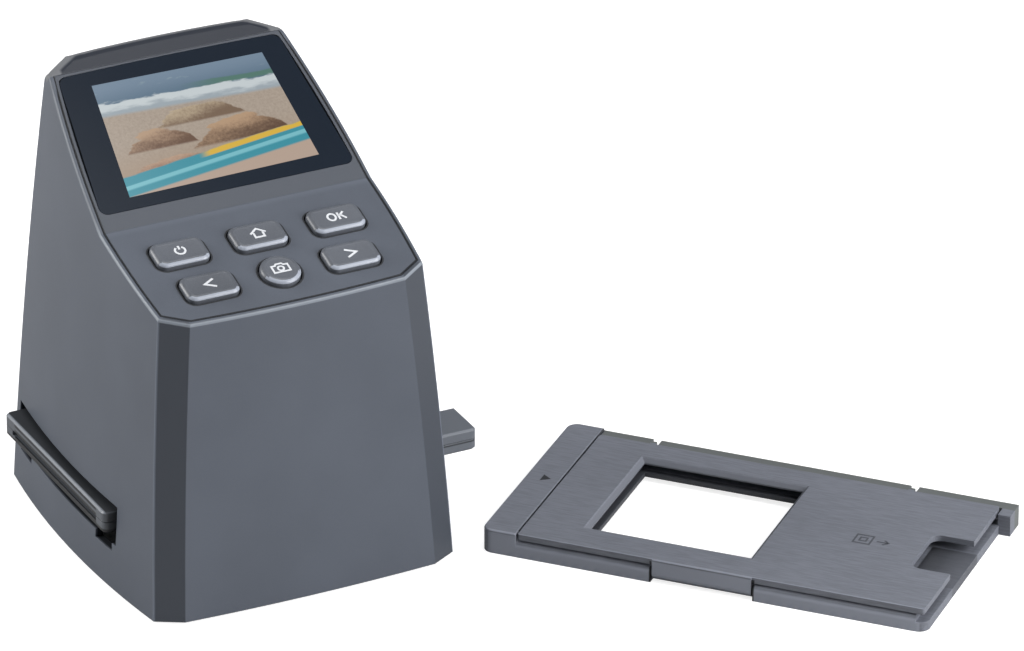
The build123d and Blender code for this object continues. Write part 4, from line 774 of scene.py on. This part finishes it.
def glass_outline():
    """The glass seen square on: bowed sides and top, and rounded corners."""
    points = []
    for quarter, (sx, edge, sy) in enumerate(((1, GLASS_HIGH, 1), (-1, GLASS_HIGH, 1),
                                              (-1, GLASS_LOW, -1), (1, GLASS_LOW, -1))):
        for step in range(ROUND_STEPS + 1):
            angle = pi / 2 * (quarter + step / ROUND_STEPS)
            run = edge - sy * GLASS_R + GLASS_R * sin(angle)
            points.append((sx * (side_at(run) - GLASS_R) + GLASS_R * cos(angle), run))
        for share in TOP_SHARES if quarter == 0 else ():
            points.append((share * side_at(edge), edge + GLASS_BOW * (1 - share * share)))
    return points


def picture_outline():
    """The lit picture's edge, from its four corners, with as many points as the glass's outline."""
    right_top, left_top, left_low, right_low = (Vector(corner) for corner in PICTURE)
    points = [right_top] * (ROUND_STEPS + 1)
    points += [right_top.lerp(left_top, 0.5 - share / 2) for share in TOP_SHARES]
    for corner in (left_top, left_low, right_low):
        points += [corner] * (ROUND_STEPS + 1)
    return [(point.x + POINT_GAP * cos(index), point.y + POINT_GAP * sin(index))
            for index, point in enumerate(points)]


def screen():
    """The glass's printed border and, in its opening, the lit picture."""
    outline, hole = glass_outline(), picture_outline()
    bm = bmesh.new()
    rings = [raised(outline, PANE_LOW), raised(outline, 0.0), raised(hole, 0.0), raised(hole, PANE_LOW)]
    made = loft(bm, rings, SCREEN_FIELD, (False, False))
    for index in range(len(outline)):
        after = (index + 1) % len(outline)
        bm.faces.new((made[3][index], made[3][after], made[0][after], made[0][index]))
    border = piece("glass_border", bm, glass_finish, SCANNER)
    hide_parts("screen_glass")

    bm = bmesh.new()
    loft(bm, [raised(hole, PANE_LOW), raised(hole, 0.0)], SCREEN_FIELD)
    picture = piece("display_picture", bm, seaside(), SCANNER)
    layer = picture.data.uv_layers.new(name="UVMap")
    to_field = SCREEN_FIELD.inverted()
    for loop in picture.data.loops:
        spot = to_field @ picture.data.vertices[loop.vertex_index].co
        layer.data[loop.index].uv = (spot.x / PICTURE_W + 0.5, (spot.y - PICTURE_MID) / PICTURE_H + 0.5)


# ------------------------------------------------------------------ moulded marks of the loose holder
MARK_LOW, MARK_W = HOLDER_T - 0.2, 0.5
WAY_IN = [(4.4, 30.3), (6.9, 32.0), (4.4, 33.7)]            # a triangle on the bar
SLIDE_MARK = (                                              # a mounted slide and an arrow on the cover
    ([(91.2, 28.2), (95.6, 28.2), (95.6, 32.6), (91.2, 32.6)], True),
    ([(92.5, 29.5), (94.3, 29.5), (94.3, 31.3), (92.5, 31.3)], True),
    ([(97.0, 30.4), (100.0, 30.4)], False),
    ([(98.8, 31.6), (100.2, 30.4), (98.8, 29.2)], False),
)


def holder_marks():
    """Two generic marks, of which the second stands where the photographed one can't be read."""
    bm = bmesh.new()
    loft(bm, [raised(WAY_IN, MARK_LOW), raised(WAY_IN, HOLDER_T + 0.02)], HOLDER_FIELD)
    piece("way_in_mark", bm, recess_finish, HOLDER)
    bm = bmesh.new()
    for points, closed in SLIDE_MARK:
        stroke(bm, points, MARK_W, MARK_LOW, HOLDER_T + 0.03, HOLDER_FIELD, closed)
    piece("slide_mark", bm, mark_finish, COVER)


screen()
holder_marks()

# ------------------------------------------------------------------ floor, light and camera
SKY, SKY_LIGHT = (0.95, 0.97, 1.0, 1), 0.16     # soft light from all round, apart from the white backdrop
FLOOR_GREYS = ((0.44, 0.44, 0.44), (0.46, 0.46, 0.46))
FLOOR_LIFT = 0.8                                # makes the floor white to the camera only
MIDDLE = Vector((0.04, -0.02, 0.05))
# Soft boxes: place, size, watts and colour.
LIGHTS = {
    "key_light": ((0.85, -0.95, 0.6), (0.9, 0.9), 24.0, (1.0, 0.99, 0.99)),
    "side_light": ((-1.1, 0.75, 0.65), (0.8, 0.9), 23.2, (1.0, 0.99, 0.97)),
    "top_light": ((0.1, -0.1, 1.5), (0.8, 0.8), 9.0, (1.0, 1.0, 1.0)),
}
CAMERA_AT = (-0.8533, -1.8758, 1.0951)
CAMERA_TILT, CAMERA_TURN = 26.78, -26.47        # degrees below level, and about Z
FRAME_PX, FOCAL_PX, SHIFT_PX = 1024, 9011, -1   # the photograph's width, the focal length and the shift
SENSOR_W = 36.0


def switch(tree, share, first, second):
    """One of two shaders, by a share from 0 to 1."""
    node = tree.nodes.new("ShaderNodeMixShader")
    for socket, source in zip(node.inputs, (share, first, second)):
        tree.links.new(source, socket)
    return node.outputs[0]


def emitter(tree, kind, strength, colour=(1, 1, 1, 1)):
    """The output of a background or emission node."""
    node = tree.nodes.new(kind)
    node.inputs["Color"].default_value = colour
    node.inputs["Strength"].default_value = strength
    return node.outputs[0]


def studio_world():
    """White to the camera and through clear pieces, faint even light to everything else."""
    world = bpy.data.worlds.new("studio")
    bpy.context.scene.world = world
    world.use_nodes = True
    tree = world.node_tree
    tree.nodes.clear()
    path = tree.nodes.new("ShaderNodeLightPath")
    seen = Value(tree, path.outputs["Is Camera Ray"]).most(Value(tree, path.outputs["Is Transmission Ray"]))
    plain = emitter(tree, "ShaderNodeBackground", SKY_LIGHT, SKY)
    white = emitter(tree, "ShaderNodeBackground", 1.0)
    output = tree.nodes.new("ShaderNodeOutputWorld")
    tree.links.new(switch(tree, seen.socket, plain, white), output.inputs[0])


def pale_floor():
    """A matt floor that takes the object's shadow and is otherwise white to the camera."""
    bpy.ops.mesh.primitive_plane_add(size=8, location=(0, 0, 0))
    floor = bpy.context.object
    floor.name = "floor"
    material, tree, bsdf = shader("pale_floor")
    fine = noise(tree, place(tree, 40.0), 2.0)
    tree.links.new(mix(tree, fine, *FLOOR_GREYS), bsdf.inputs["Base Color"])
    bsdf.inputs["Roughness"].default_value = 0.9
    bsdf.inputs["Specular IOR Level"].default_value = 0.0
    path = tree.nodes.new("ShaderNodeLightPath")
    none = emitter(tree, "ShaderNodeEmission", 0.0)
    lift = emitter(tree, "ShaderNodeEmission", FLOOR_LIFT)
    total = tree.nodes.new("ShaderNodeAddShader")
    tree.links.new(bsdf.outputs[0], total.inputs[0])
    tree.links.new(switch(tree, path.outputs["Is Camera Ray"], none, lift), total.inputs[1])
    tree.links.new(total.outputs[0], tree.nodes["Material Output"].inputs["Surface"])
    floor.data.materials.append(material)


def softbox(name, location, size, watts, colour):
    """A rectangular lamp that faces the middle of the set."""
    lamp = bpy.data.lights.new(name, "AREA")
    lamp.shape = "RECTANGLE"
    lamp.size, lamp.size_y = size
    lamp.energy = watts
    lamp.color = colour
    obj = bpy.data.objects.new(name, lamp)
    bpy.context.scene.collection.objects.link(obj)
    obj.location = location
    obj.rotation_mode = "QUATERNION"
    obj.rotation_quaternion = (MIDDLE - Vector(location)).to_track_quat("-Z", "Y")


def photo_camera():
    """The camera at the photograph's viewing angle."""
    data = bpy.data.cameras.new("camera")
    camera = bpy.data.objects.new("camera", data)
    bpy.context.scene.collection.objects.link(camera)
    bpy.context.scene.camera = camera
    camera.location = CAMERA_AT
    camera.rotation_euler = (radians(90 - CAMERA_TILT), 0, radians(CAMERA_TURN))
    data.sensor_width = SENSOR_W
    data.lens = FOCAL_PX / FRAME_PX * SENSOR_W
    data.shift_x = SHIFT_PX / FRAME_PX
    data.clip_end = 50


studio_world()
pale_floor()
for name, values in LIGHTS.items():
    softbox(name, *values)
photo_camera()
bpy.context.scene.view_settings.view_transform = "Standard"
